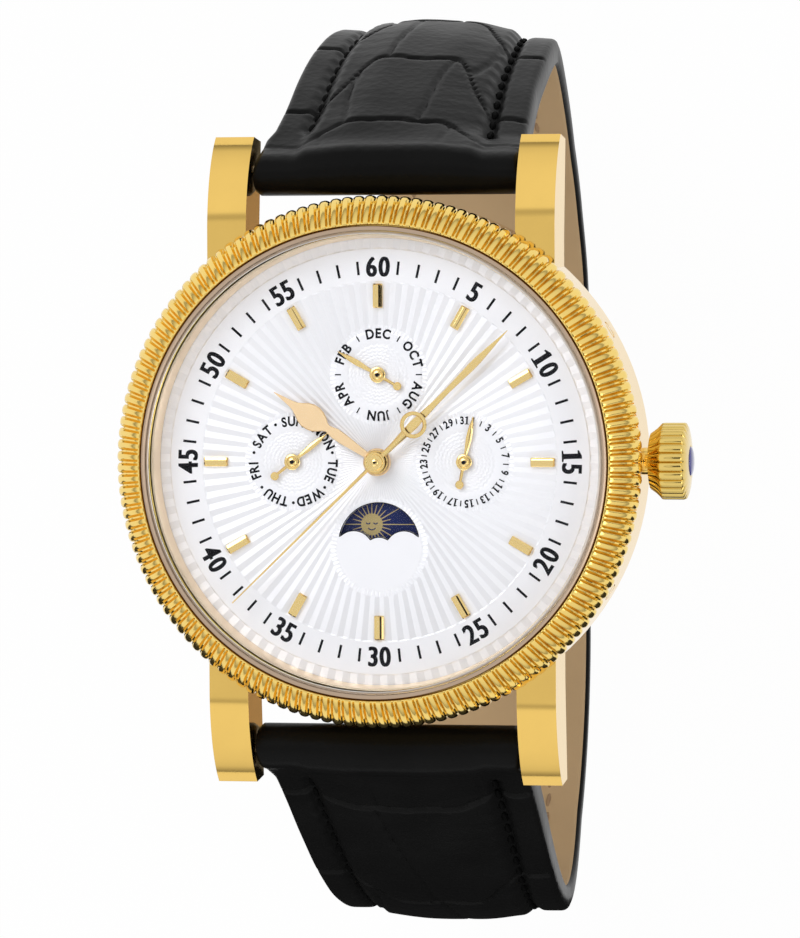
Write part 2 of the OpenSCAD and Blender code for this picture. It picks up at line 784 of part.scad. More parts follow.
module movement_ring() {
    color("silver") difference() {
        translate([0, 0, bridge_z]) cylinder(r = ring_out_r, h = dial_seat_z - bridge_z, $fn = 180);
        translate([0, 0, bridge_z - cut]) cylinder(r = ring_in_r, h = dial_seat_z, $fn = 180);
        translate([0, 0, calendar_plate_z])
            cylinder(r = calendar_plate_r + seat_gap, h = dial_seat_z, $fn = 180);
        stem_rod(stem_r + 0.3, ring_in_r - cut, ring_out_r + cut);
        for (a = [-corrector_angle, corrector_angle]) rotate([0, 0, a])
            translate([corrector_tip_x - corrector_travel - 0.2, 0, stem_z]) rotate([0, 90, 0])
                cylinder(r = corrector_shank_r + run_gap, h = bore_r);
        casing_screw_places() translate([0, 0, bridge_z - cut])
            cylinder(r = screw_shank_r, h = screw_depth + cut);
    }
}

module casing_screw_places() {
    for (a = [90, 210, 330]) rotate(a) translate([casing_screw_circle, 0, 0]) children();
}

module movement_screws() {
    // casing screws hold small clamps by the movement's edge
    color("steelblue") casing_screw_places() difference() {
        union() {
            translate([0, 0, bridge_z]) cylinder(r = screw_shank_r, h = screw_depth);
            translate([0, 0, bridge_z - 0.1]) cylinder(r = screw_head_r, h = 0.1);
        }
        translate([-slot_w / 2, -screw_head_r - cut, bridge_z - 0.1 - cut])
            cube([slot_w, 2 * (screw_head_r + cut), cut + 0.05]);
    }
}

// Places where an arbor's pivot turns in the mainplate and in a bridge
pivot_places = [third_at, escape_at, pallet_at, balance_at, minute_at, month_at, day_at, date_at];

module mainplate() {
    color("silver") difference() {
        translate([0, 0, plate_z]) cylinder(r = movement_r, h = plate_t);
        rod(axis0, tube_r + run_gap, plate_z - cut, plate_z + plate_t + cut);
        for (at = pivot_places) rod(at, pivot_r + run_gap, plate_z - cut, plate_z + plate_t + cut);
        rod(barrel_at, post_r + run_gap, plate_z - cut, plate_z + plate_t + cut);
    }
}

module mainspring_barrel() {
    color("khaki") {
        wheel(barrel_at, barrel_r, barrel_teeth, barrel_z, 0.35, 0);
        rod(barrel_at, barrel_r - 0.35, barrel_z, barrel_z + barrel_h);
        rod(barrel_at, post_r, barrel_z, plate_z + 0.4);
        rod(barrel_at, post_r, bridge_z + 0.15, barrel_z);
    }
}

// Bridge outline: part of the movement's disc, on one side of a line through its middle
module bridge_plate(z0, t) {
    intersection() {
        translate([0, 0, z0]) cylinder(r = movement_r, h = t);
        translate([0, 0, z0]) linear_extrude(t) children();
    }
}

// Wall at the movement's edge that stands a bridge on the mainplate, over an arc of angles
module bridge_foot(a0, a1) {
    far = movement_r + cut;
    intersection() {
        ring(movement_r, movement_r - foot_w, bridge_z, plate_z);
        translate([0, 0, bridge_z]) linear_extrude(plate_z) polygon(concat(
            [[0, 0]], [for (i = [0 : 4]) let (a = a0 + (a1 - a0) * i / 4) 1.1 * far * [cos(a), sin(a)]]
        ));
    }
}

module barrel_bridge() {
    color("gainsboro") difference() {
        union() {
            bridge_plate(bridge_z, bridge_t)
                polygon([[-20, 1.9], [-2, 1.9], [0, 2.3], [2, 1.9], [20, 1.9], [20, 20], [-20, 20]]);
            bridge_foot(18, 60);
            bridge_foot(95, 160);
        }
        rod(barrel_at, post_r + run_gap, bridge_z - cut, train_z + cut);
        for (at = [crown_wheel_at, click_at])
            rod(at, 0.4 + run_gap, bridge_z - cut, train_z + cut);
    }
}

module train_bridge() {
    color("gainsboro") difference() {
        union() {
            bridge_plate(bridge_z, bridge_t) polygon([
                [-20, 1.8], [-2, 1.8], [0, 2.2], [2, 1.8], [2.6, 0], [2.6, -8], [0.5, -20], [-20, -20]
            ]);
            bridge_foot(190, 255);
        }
        rod(axis0, pivot_r + run_gap, bridge_z - cut, train_z + cut);
        for (at = [third_at, escape_at])
            rod(at, pivot_r + run_gap, bridge_z - cut, train_z + cut);
    }
}

module balance_cock() {
    color("gainsboro") difference() {
        union() {
            bridge_plate(bridge_z, bridge_t) polygon([
                [2.8, -1.4], [13, -1.4], [20, -8], [9, -20], [1.2, -20], [2.8, -8]
            ]);
            bridge_foot(281, 287);
            bridge_foot(342, 352);
        }
        for (at = [balance_at, pallet_at])
            rod(at, pivot_r + run_gap, bridge_z - cut, train_z + cut);
    }
}

module arbor(at, r, z0, z1) {
    rod(at, r, train_z + 0.06, plate_z - 0.06);
    rod(at, pivot_r, z0, z1);
}

module centre_wheel() {
    color("khaki") difference() {
        union() {
            spoked_wheel(axis0, centre_wheel_r, centre_teeth, centre_z, train_t, 1.1);
            wheel(axis0, centre_pinion_r, centre_pinion_teeth, centre_z + train_t, 1.2, 0);
            rod(axis0, tube_r, centre_z, minute_z - 0.1);
        }
        rod(axis0, tube_in_r, centre_z - cut, minute_z + cut);
    }
}

module third_wheel() {
    color("khaki") {
        spoked_wheel(third_at, third_wheel_r, third_teeth, third_z, train_t, 0.8);
        wheel(third_at, third_pinion_r, third_pinion_teeth, third_z + train_t, 0.9, 0);
        arbor(third_at, arbor_r, bridge_z + 0.1, plate_z + 0.4);
    }
}

module fourth_wheel() {
    color("khaki") {
        spoked_wheel(axis0, fourth_wheel_r, fourth_teeth, fourth_z, train_t, 0.9);
        wheel(axis0, fourth_pinion_r, fourth_pinion_teeth, train_z + 0.06, fourth_z - train_z, 0);
        rod(axis0, seconds_arbor_r, bridge_z + 0.1, seconds_z + hand_t);
    }
}

module escape_wheel() {
    color("silver") {
        spoked_wheel(escape_at, escape_wheel_r, escape_teeth, pallet_z, train_t, 0.5);
        wheel(escape_at, escape_pinion_r, escape_pinion_teeth, fourth_z - 0.1, 0.4, 0);
        arbor(escape_at, 0.2, bridge_z + 0.1, plate_z + 0.4);
    }
}

module pallet_fork() {
    to_balance = atan2(balance_at[1] - pallet_at[1], balance_at[0] - pallet_at[0]);
    fork_l = norm(balance_at - pallet_at) - 0.85;
    color("silver") {
        translate([pallet_at[0], pallet_at[1], pallet_z + 0.2]) rotate(to_balance)
            linear_extrude(train_t) polygon([
                [-0.3, -0.9], [0, -0.25], [fork_l, -0.12], [fork_l, 0.12], [0, 0.25], [-0.3, 0.9]
            ]);
        arbor(pallet_at, 0.2, bridge_z + 0.1, plate_z + 0.4);
    }
}

module balance_wheel() {
    color("gold") {
        difference() {
            rod(balance_at, balance_r, balance_z, balance_z + 0.4);
            difference() {
                rod(balance_at, balance_r - 0.4, balance_z - cut, balance_z + cut);
                rod(balance_at, 0.6, balance_z - cut, balance_z + cut);
                translate([balance_at[0], balance_at[1], balance_z])
                    cube([2 * balance_r, 0.45, 2 * cut], center = true);
            }
        }
        rod(balance_at, 0.45, pallet_z + 0.6, pallet_z + 0.75);
        arbor(balance_at, 0.22, bridge_z + 0.1, plate_z + 0.4);
    }
}

// Hairspring: one unbroken flat spiral, walked out along its outer edge and back along its inner edge
hairspring_w = 0.06;
hairspring_h = 0.14;
hairspring_z = train_z + 0.14;
function spiral(turn, off) = (0.4 + turn * hairspring_pitch + off) * [cos(360 * turn), sin(360 * turn)];
spiral_steps = 24;
spiral_points = [for (i = [0 : hairspring_turns * spiral_steps]) spiral(i / spiral_steps, 0)];
spiral_gap = min([for (i = [0 : len(spiral_points) - spiral_steps - 1])
    norm(spiral_points[i] - spiral_points[i + spiral_steps])]) - hairspring_w;
module hairspring() {
    color("steelblue") translate([balance_at[0], balance_at[1], hairspring_z]) {
        linear_extrude(hairspring_h) polygon(concat(
            [for (i = [0 : hairspring_turns * spiral_steps]) spiral(i / spiral_steps, hairspring_w / 2)],
            [for (i = [hairspring_turns * spiral_steps : -1 : 0])
                spiral(i / spiral_steps, -hairspring_w / 2)]
        ));
        difference() {
            cylinder(r = 0.41, h = hairspring_h);
            translate([0, 0, -cut]) cylinder(r = 0.22, h = hairspring_h + 2 * cut);
        }
    }
}

// Winding works

module ratchet_wheel() {
    color("silver") {
        wheel(barrel_at, ratchet_r, ratchet_teeth, wheel_bottom, wheel_top - wheel_bottom, 0);
        rod(barrel_at, 0.3, wheel_bottom, bridge_z + 0.14);
    }
}

module crown_wheel() {
    color("silver") {
        wheel(crown_wheel_at, crown_wheel_r, crown_wheel_teeth, wheel_bottom, wheel_top - wheel_bottom, 0);
        rod(crown_wheel_at, 0.4, wheel_bottom, bridge_z + bridge_t);
    }
}

module click() {
    color("silver") {
        translate([click_at[0], click_at[1], wheel_bottom]) rotate(-96) linear_extrude(0.45)
            polygon([
                [-0.6, -0.5], [0.6, -0.5], [0.6, 0.5], [2.4, 0.2], [2.4, 0.55], [0, 0.95], [-0.6, 0.6]
            ]);
        rod(click_at, 0.4, wheel_bottom, bridge_z + bridge_t);
    }
}

// Small toothed wheel round the stem
module stem_pinion(x, l, n) {
    translate([x, 0, stem_z]) rotate([0, 90, 0]) difference() {
        linear_extrude(l) polygon(teeth(n, pinion_r, pinion_r - 0.14));
        translate([0, 0, -cut]) cylinder(r = stem_r + run_gap, h = l + 2 * cut);
    }
}
module winding_pinion() { color("silver") stem_pinion(winding_x, winding_l, stem_pinion_teeth); }
module sliding_pinion() { color("silver") stem_pinion(sliding_x, sliding_l, stem_pinion_teeth); }
module winding_stem() { color("silver") stem_rod(stem_r, stem_x0, stem_x1); }

// Motion works between the mainplate and the calendar plate

module cannon_pinion() {
    color("silver") difference() {
        union() {
            wheel(axis0, cannon_tooth_r, cannon_teeth, motion_z, motion_t, 0);
            rod(axis0, cannon_r, motion_z, minute_z + hand_t);
        }
        rod(axis0, tube_r + slip_gap, motion_z - cut, minute_z + hand_t + cut);
    }
}

module minute_wheel() {
    color("khaki") {
        wheel(minute_at, minute_wheel_r, minute_teeth, motion_z, motion_t, 0);
        wheel(minute_at, minute_pinion_r, minute_pinion_teeth, motion_z, 0.34, 0);
        rod(minute_at, pivot_r, plate_z + 0.1, motion_z + 0.1);
    }
}

module hour_wheel() {
    color("khaki") difference() {
        union() {
            wheel(axis0, hour_wheel_r, hour_teeth, hour_wheel_z, motion_t, 0);
            rod(axis0, hour_pipe_r, hour_wheel_z, hour_z + hand_t);
        }
        rod(axis0, hour_pipe_in_r, hour_wheel_z - cut, hour_z + cut);
    }
}

// Winding rotor: a thin half disc with a heavy rim

module rotor() {
    color("gold") difference() {
        union() {
            intersection() {
                union() {
                    translate([0, 0, rotor_z]) cylinder(r = rotor_r, h = rotor_web_t);
                    ring(rotor_r, rotor_r - rotor_rim_w, rotor_z, rotor_z + rotor_rim_t);
                }
                translate([-rotor_r - cut, -rotor_r - cut, 0])
                    cube([2 * (rotor_r + cut), rotor_r + cut, rotor_z + 2 * cut]);
            }
            translate([0, 0, rotor_z]) cylinder(r = 1.7, h = rotor_web_t);
        }
        translate([0, 0, rotor_z - cut]) cylinder(r = post_r + run_gap, h = rotor_web_t + 2 * cut);
    }
}

module rotor_post() {
    color("steelblue") {
        rod(axis0, post_r, rotor_z - 0.1, bridge_z);
        rod(axis0, 1.5, rotor_z + rotor_web_t + 0.1, bridge_z);
    }
}

// Case back

module case_back() {
    color("gold") difference() {
        rotate_extrude($fn = 180) polygon([
            [0, 0], [back_r - 1.9, 0], [back_r, 0.55], [back_r, back_t],
            [spigot_r, back_t], [spigot_r, spigot_z], [spigot_in_r, spigot_z],
            [spigot_in_r, back_floor], [0, back_floor]
        ]);
        back_screw_places() {
            translate([0, 0, -cut]) cylinder(r = screw_shank_r + 0.05, h = back_t + 2 * cut);
            translate([0, 0, -cut]) cylinder(r = screw_head_r + 0.05, h = 0.3 + screw_head_t + cut);
        }
    }
}

module back_gasket() {
    color("black") ring(gasket_groove_r - 0.02, bore_r + 0.02, back_t, gasket_groove_z - 0.02);
}

module back_screws() {
    color("gold") back_screw_places() difference() {
        union() {
            translate([0, 0, 0.3]) cylinder(r = screw_head_r, h = screw_head_t);
            translate([0, 0, 0.3]) cylinder(r = screw_shank_r, h = back_t + screw_depth - 0.35);
        }
        translate([-slot_w / 2, -screw_head_r - cut, 0.3 - cut])
            cube([slot_w, 2 * (screw_head_r + cut), cut + slot_depth]);
    }
}

// Crown

module crown() {
    color("gold") difference() {
        union() {
            translate([0, 0, stem_z]) rotate([0, 90, 0]) rotate_extrude() polygon([
                [0, crown_x0], [crown_back_r, crown_x0], [crown_r - 0.3, crown_grip_x],
                [crown_r - 0.3, crown_end_x], [crown_end_r, crown_x1], [0, crown_x1]
            ]);
            translate([crown_grip_x, 0, stem_z]) rotate([0, 90, 0])
                linear_extrude(crown_grip_l)
                    polygon(flutes(crown_flutes, crown_r, crown_flute_depth));
        }
        stem_rod(crown_cavity_r, crown_x0 - cut, crown_cavity_x);
        stem_rod(stem_r, crown_x0, stem_x1);
        stem_rod(cabochon_r, crown_x1 - cabochon_seat, crown_x1 + cut);
    }
}

module crown_cabochon() {
    // half outline of the domed stone, with its edge on the crown's rounded end
    dome = [for (i = [0 : 8]) let (a = 90 * i / 8)
        [cabochon_r * cos(a), crown_x1 + cabochon_rise * sin(a)]];
    color("slateblue") translate([0, 0, stem_z]) rotate([0, 90, 0]) rotate_extrude()
        polygon(concat([[0, crown_x1 - cabochon_seat], [cabochon_r, crown_x1 - cabochon_seat]], dome));
}

module crown_tube() {
    color("gold") difference() {
        stem_rod(crown_tube_r, tube_x0, tube_x1);
        stem_rod(tube_bore_r, tube_x0 - cut, tube_x1 + cut);
    }
}

module corrector(a) {
    color("gold") rotate([0, 0, a]) translate([0, 0, stem_z]) rotate([0, 90, 0]) {
        translate([0, 0, corrector_tip_x])
            cylinder(r = corrector_shank_r, h = corrector_head_x - corrector_tip_x);
        translate([0, 0, corrector_head_x]) cylinder(r = corrector_r, h = corrector_head_l);
    }
}
module corrector_upper() { corrector(corrector_angle); }
module corrector_lower() { corrector(-corrector_angle); }

// Strap

module spring_bars() {
    color("silver") for (y = [-bar_y, bar_y]) translate([0, y, bar_z]) rotate([0, 90, 0]) {
        cylinder(r = bar_r, h = 2 * bar_half, center = true);
        cylinder(r = bar_tip_r, h = 2 * (lug_x0 + bar_tip_l), center = true);
    }
}

// Middle line of each half from its spring bar to the flat stretch, as two curves in Y and Z
// that lean out alike where they meet: the 12 o'clock half bends in sooner than the other
lean = 0.1;
top_loop = [
    [[bar_y, bar_z], [bar_y + 1.4, bar_z - 5.2],
        [loop_half - 11 * lean, -loop_wide_z + 13], [loop_half, -loop_wide_z + 2]],
    [[loop_half, -loop_wide_z + 2], [loop_half + 5 * lean, -loop_wide_z - 3],
        [flat_y + 8, inner_z], [flat_y - 2, inner_z]]
];
low_loop = [
    [[bar_y, bar_z], [bar_y + 0.4, bar_z - 6.7],
        [loop_low - 12 * lean, -loop_wide_z + 12], [loop_low, -loop_wide_z]],
    [[loop_low, -loop_wide_z], [loop_low + 11 * lean, -loop_wide_z - 11],
        [flat_y + 11, inner_z], [flat_y, inner_z]]
];
function loop_at(s, loop) = s < 1 ? bez(loop[0], s) : bez(loop[1], s - 1);
function loop_slope(s, loop) = s < 1 ? slope(loop[0], s) : slope(loop[1], s - 1);
function half_at(s, h_end) = strap_half_lug + (h_end - strap_half_lug) * min(1, s / 1.6);
// One edge of the strap along the loop, set off from the middle line to the outside or the inside
function loop_edge(loop, side, h_end, less) = [
    for (i = [0 : 2 * steps]) let (s = i / steps)
        loop_at(s, loop) + side * (half_at(s, h_end) - less) * outward(loop_slope(s, loop))
];
function reversed(p) = [for (i = [len(p) - 1 : -1 : 0]) p[i]];
function mirrored(p) = [for (q = p) [-q[0], q[1]]];

// Outline of the 12 o'clock half, which ends round the buckle bar
function top_outline(less) = concat(
    loop_edge(top_loop, 1, strap_half_end, less),
    [[buckle_y, inner_z - strap_half_end + less]],
    [[buckle_y, inner_z + strap_half_end]],
    reversed(loop_edge(top_loop, -1, strap_half_end, 0))
);

// Outline of the 6 o'clock half, drawn on the 12 o'clock side up to its level stretch and mirrored,
// then led down through the buckle and the keepers
function bottom_outline(less) = concat(
    mirrored(loop_edge(low_loop, 1, tail_half, less)),
    [[ramp_y0, inner_z - tail_half + less], [ramp_y1, tail_z - tail_half + less]],
    [[tail_end_y, tail_z - tail_half + less], [tail_end_y, tail_z + tail_half]],
    [[ramp_y1, tail_z + tail_half], [ramp_y0, inner_z + tail_half]],
    reversed(mirrored(loop_edge(low_loop, -1, tail_half, 0)))
);

// Slab of the strap's side outline, full width or narrower by a margin on each side
module strap_slab(outline, less_w) {
    rotate([90, 0, 90]) translate([0, 0, -strap_lug_half_w + less_w])
        linear_extrude(2 * (strap_lug_half_w - less_w)) polygon(outline);
}

// Prism that narrows from the lugs to the buckle, as seen along the strap
module strap_taper(less_w) {
    a = strap_lug_half_w - less_w;
    b = strap_end_half_w - less_w;
    low = floor_z - cut;
    high = bar_z + 6;
    rotate([90, 0, 0]) translate([0, 0, -loop_low - 6]) linear_extrude(2 * (loop_low + 6))
        polygon([
            [-a, high], [-a, -2], [-b, inner_z + 6], [-b, low],
            [b, low], [b, inner_z + 6], [a, -2], [a, high]
        ]);
}

// Thin stitched margins with a raised padded middle, and a rounded end with a hole for the spring bar
module strap_body(outline_thin, outline_full, y) {
    difference() {
        union() {
            intersection() {
                strap_slab(outline_thin, 0);
                strap_taper(0);
            }
            intersection() {
                strap_slab(outline_full, margin_w);
                strap_taper(margin_w);
            }
            translate([-strap_lug_half_w, y, bar_z]) rotate([0, 90, 0])
                cylinder(r = strap_half_lug, h = 2 * strap_lug_half_w);
        }
        translate([-lug_gap, y, bar_z]) rotate([0, 90, 0])
            cylinder(r = bar_r + run_gap, h = 2 * lug_gap);
    }
}

module strap_top() {
    color("black") difference() {
        union() {
            strap_body(top_outline(margin_drop), top_outline(0), bar_y);
            translate([-strap_end_half_w, buckle_y, inner_z]) rotate([0, 90, 0])
                cylinder(r = strap_half_end, h = strap_end_w);
        }
        translate([-strap_end_w, buckle_y, inner_z]) rotate([0, 90, 0])
            cylinder(r = buckle_bar_r + run_gap, h = 2 * strap_end_w);
        // slot for the tongue
        translate([-tang_hole_w / 2, buckle_y - 2 * strap_half_end, inner_z - 2 * strap_half_end])
            cube([tang_hole_w, 4 * strap_half_end, 4 * strap_half_end]);
    }
}

// Outline of the tail seen from below, with a tapered tip
module tail_tip() {
    w = strap_lug_half_w + cut;
    y = tail_end_y - tip_l;
    translate([0, 0, floor_z - cut]) linear_extrude(loop_depth + bar_z + 8) polygon([
        [-w, -loop_low - 6], [-w, y - 2], [-strap_end_half_w, y], [-tip_half_w, tail_end_y + 0.01],
        [tip_half_w, tail_end_y + 0.01], [strap_end_half_w, y], [w, y - 2], [w, -loop_low - 6]
    ]);
}

module strap_bottom() {
    color("black") difference() {
        intersection() {
            strap_body(bottom_outline(margin_drop * 0.6), bottom_outline(0), -bar_y);
            tail_tip();
        }
        // hole for the tongue, then the spare holes on both sides of it
        translate([-tang_hole_w / 2, tang_hole_y0, floor_z])
            cube([tang_hole_w, tang_hole_y1 - tang_hole_y0, inner_z - floor_z]);
        for (k = [-2, -1, 1, 2])
            translate([0, (tang_hole_y0 + tang_hole_y1) / 2 + k * hole_pitch, floor_z - cut])
                cylinder(r = spare_hole_r, h = inner_z - floor_z + tail_half + 3, $fn = 24);
    }
}

module keeper(y) {
    gap = 0.15;
    half = strap_end_half_w + gap;
    color("black") translate([0, y, 0]) difference() {
        translate([-half - keeper_t, 0, floor_z])
            cube([2 * (half + keeper_t), keeper_w, keeper_top_z - floor_z]);
        translate([-half, -cut, floor_z + keeper_t])
            cube([2 * half, keeper_w + 2 * cut, keeper_top_z - floor_z - 2 * keeper_t]);
    }
}
module fixed_keeper() { keeper(fixed_keeper_y); }
module free_keeper() { keeper(free_keeper_y); }

// Buckle

module buckle_frame() {
    side = [
        [buckle_y + 1.1, inner_z - 0.9], [buckle_y + 1.1, inner_z + 0.9],
        [buckle_y - 1.1, inner_z + 1.1], [frame_y0 + frame_bar_w, frame_bar_z1 + 0.6],
        [frame_y0, frame_bar_z1 - 0.4], [frame_y0, frame_bar_z0 + 0.3],
        [frame_y0 + 0.5, frame_bar_z0], [frame_y0 + frame_bar_w + 2, frame_bar_z0]
    ];
    color("gold") difference() {
        union() {
            for (x = [-frame_out, frame_in]) translate([x, 0, 0])
                rotate([90, 0, 90]) linear_extrude(frame_w) polygon(side);
            // outer bar
            rotate([90, 0, 90]) translate([0, 0, -frame_out]) linear_extrude(2 * frame_out) polygon([
                [frame_y0, frame_bar_z0 + 0.3], [frame_y0 + 0.5, frame_bar_z0],
                [frame_y0 + frame_bar_w, frame_bar_z0], [frame_y0 + frame_bar_w, frame_bar_z1],
                [frame_y0 + 0.5, frame_bar_z1], [frame_y0, frame_bar_z1 - 0.4]
            ]);
        }
        // rest for the tongue's tip, and the bar's holes
        translate([-tang_w / 2 - 0.15, frame_y0 - cut, floor_z])
            cube([tang_w + 0.3, frame_bar_w + 2 * cut, tang_low - floor_z + tang_t + 0.06]);
        translate([-frame_out - cut, buckle_y, inner_z]) rotate([0, 90, 0])
            cylinder(r = buckle_bar_r, h = 2 * (frame_out + cut));
    }
}

module buckle_bar() {
    color("silver") translate([-frame_out, buckle_y, inner_z]) rotate([0, 90, 0])
        cylinder(r = buckle_bar_r, h = 2 * frame_out);
}

module buckle_tang() {
    top = tang_level + tang_t / 2;
    low = tang_level - tang_t / 2;
    color("gold") difference() {
        translate([-tang_w / 2, 0, 0]) union() {
            rotate([90, 0, 90]) linear_extrude(tang_w) polygon([
                [buckle_y, top], [tang_drop_y - tang_t, top],
                [tang_drop_y - tang_t - 0.25, tang_low + tang_t], [tang_tip_y, tang_low + tang_t],
                [tang_tip_y, tang_low], [tang_drop_y - 0.35, tang_low],
                [tang_drop_y, low], [buckle_y, low]
            ]);
            translate([0, buckle_y, inner_z]) rotate([0, 90, 0])
                cylinder(r = buckle_bar_r + 0.45, h = tang_w);
        }
        translate([-tang_w, buckle_y, inner_z]) rotate([0, 90, 0])
            cylinder(r = buckle_bar_r + run_gap, h = 2 * tang_w);
    }
}

echo(hairspring_gap_mm = spiral_gap);
case_middle();
bezel();
crystal();
crystal_gasket();
dial_flange();
dial();
hour_markers();
hour_hand();
minute_hand();
seconds_hand();
month_hand();
day_hand();
date_hand();
day_night_disc();
month_wheel();
day_wheel();
date_wheel();
calendar_plate();
movement_ring();
mainplate();
mainspring_barrel();
barrel_bridge();
train_bridge();
centre_wheel();
third_wheel();
fourth_wheel();
escape_wheel();
pallet_fork();
balance_wheel();
hairspring();
balance_cock();
ratchet_wheel();
crown_wheel();
click();
winding_pinion();
sliding_pinion();
winding_stem();
cannon_pinion();
minute_wheel();
hour_wheel();
rotor();
rotor_post();
case_back();
back_gasket();
back_screws();
crown();
crown_cabochon();
crown_tube();
corrector_upper();
corrector_lower();
spring_bars();
strap_top();
strap_bottom();
fixed_keeper();
free_keeper();
buckle_frame();
buckle_bar();
buckle_tang();
movement_screws();
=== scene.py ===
"""Looks of a calendar wristwatch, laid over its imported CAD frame.

Each operator builds one group of pieces. Lengths in the tables are millimetres in the frame of
the watch: +Z out through the dial, +Y to 12 o'clock, +X to the crown.
"""

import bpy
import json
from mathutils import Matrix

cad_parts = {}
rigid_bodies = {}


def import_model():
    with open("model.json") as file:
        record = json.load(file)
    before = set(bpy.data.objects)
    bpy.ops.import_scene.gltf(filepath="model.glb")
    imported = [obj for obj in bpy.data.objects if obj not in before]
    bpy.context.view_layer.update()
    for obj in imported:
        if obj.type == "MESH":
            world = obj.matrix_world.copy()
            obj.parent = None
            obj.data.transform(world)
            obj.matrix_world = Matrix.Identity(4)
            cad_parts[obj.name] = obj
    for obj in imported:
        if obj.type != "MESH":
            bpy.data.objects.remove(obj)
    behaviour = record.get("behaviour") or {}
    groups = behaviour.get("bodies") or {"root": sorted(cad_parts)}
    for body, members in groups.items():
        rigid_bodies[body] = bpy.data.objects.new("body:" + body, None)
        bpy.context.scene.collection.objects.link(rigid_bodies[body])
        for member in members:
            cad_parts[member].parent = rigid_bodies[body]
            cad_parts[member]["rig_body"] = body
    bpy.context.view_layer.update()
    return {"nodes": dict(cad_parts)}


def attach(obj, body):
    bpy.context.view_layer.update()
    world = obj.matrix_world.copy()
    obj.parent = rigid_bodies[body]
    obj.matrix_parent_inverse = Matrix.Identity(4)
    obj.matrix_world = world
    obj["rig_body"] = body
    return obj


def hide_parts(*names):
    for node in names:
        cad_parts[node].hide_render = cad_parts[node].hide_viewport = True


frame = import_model()

import json
from functools import cache
from math import atan2, cos, exp, hypot, pi, radians, sin, sqrt

import bmesh
import bpy
from bpy.props import FloatProperty, FloatVectorProperty, IntProperty, PointerProperty
from bpy.types import Operator, Panel, PropertyGroup
from mathutils import Matrix, Vector, geometry

bl_info = {
    "name": "Calendar Wristwatch Looks",
    "version": (1, 0, 0),
    "blender": (4, 5, 0),
    "location": "3D View > Sidebar > Watch",
    "description": "Builds the finishes and fine shapes of a calendar wristwatch round its frame",
    "category": "Object",
}

MM = 0.001
CASE = "case"

# Heights of the dial, its disc and the floor, and of the undersides of the dial's plates
DIAL_Z = 7.4
DISC_Z = 6.75
FLOOR_Z = -54.0
PLATE_BASE = 7.05
SMALL_BASE = 7.1

# Print stands this far over the dial and reaches this far into it
INK_TOP = 0.008
INK_SINK = -0.01

# How CAD meshes are read: weld in metres, and the angles in degrees under which faces count as one and over
# which an edge is rounded
WELD = 2e-6
FLAT_ANGLE = 0.6
HARD_ANGLE = 32

# Places of the small dials and of the day and night disc
MONTH_AT = (0.0, 7.0)
DAY_AT = (-7.0, 0.0)
DATE_AT = (7.0, 0.0)
DISC_AT = (0.0, -6.9)
ROUND_CUT = 3.95

# Window over the disc: middle and radius of its arch, its lowest floor, and the humps as (x, y, radius)
ARCH_Y = -6.55
ARCH_R = 3.25
WINDOW_FLOOR = -6.3
HUMPS = ((-2.05, -7.1, 1.6), (2.05, -7.1, 1.6), (0.0, -7.25, 1.23))

# Radii of the lace round each small dial
LACE_RADII = (3.42, 3.5, 3.58, 3.64, 3.72, 3.82, 3.9)

# Print: from where to where the marks reach, and the radii of the figures and words
MINUTE_MARKS, MONTH_MARKS, DATE_MARKS = (15.06, 16.14), (3.05, 3.55), (3.1, 3.56)
MINUTES_R, MONTHS_R, DAYS_R, DATES_R = 15.66, 3.32, 3.26, 3.34

# Hands at rest, clockwise from 12
HOUR_ANGLE = 303.8
MINUTE_ANGLE = 45.4
SECONDS_ANGLE = 226
CALENDAR_HANDS = (("month", MONTH_AT, 300), ("day", DAY_AT, 51.4), ("date", DATE_AT, 11.6))

# Radii of the dial: its bore, its folded middle, the smooth ring of minutes and the folded edge
BORE_R = 0.95
SUNBURST_R = 14.5
MINUTE_RING_R = 17.1
DIAL_R = 18.24


# Settings


def length(name, description, default):
    return FloatProperty(name=name, description=description, default=default, unit="LENGTH")


def colour(name, description, *default):
    return FloatVectorProperty(name=name, description=description, default=default, size=3, subtype="COLOR")


class WatchCaseSettings(PropertyGroup):
    flutes: IntProperty(name="Bezel flutes", description="Number of flutes round the bezel", default=140, min=60)
    flute_depth: length("Flute depth", "Depth of the grooves between flutes", 0.0004)
    edge: length("Edge rounding", "Rounding of the polished edges", 0.00016)
    crown_flutes: IntProperty(name="Crown flutes", description="Number of flutes round the crown", default=24, min=8)
    gold: colour("Gold", "Colour of the polished case", 0.9, 0.6, 0.16)
    bezel_gold: colour("Bezel gold", "Colour of the fluted bezel", 0.95, 0.7, 0.21)
    hand_gold: colour("Hand gold", "Colour of the hands and markers", 0.82, 0.6, 0.25)
    rose_gold: colour("Rose gold", "Colour of the hour hand", 0.81, 0.59, 0.35)
    cabochon: colour("Cabochon", "Colour of the stone in the crown", 0.03, 0.03, 0.24)


class WatchDialSettings(PropertyGroup):
    pleats: IntProperty(name="Pleats", description="Folds of the dial's sunburst", default=90, min=24)
    pleat_depth: length("Pleat depth", "Depth of the folds", 0.00006)
    silver: colour("Dial", "Colour of the silvered dial", 0.95, 0.94, 0.97)
    ink: colour("Ink", "Colour of the printed figures", 0.006, 0.006, 0.008)
    night: colour("Night", "Colour of the day and night disc", 0.008, 0.014, 0.075)
    figure_height: length("Minute figures", "Height of the minute figures", 0.00162)
    word_height: length("Calendar words", "Height of the month and day words", 0.0008)


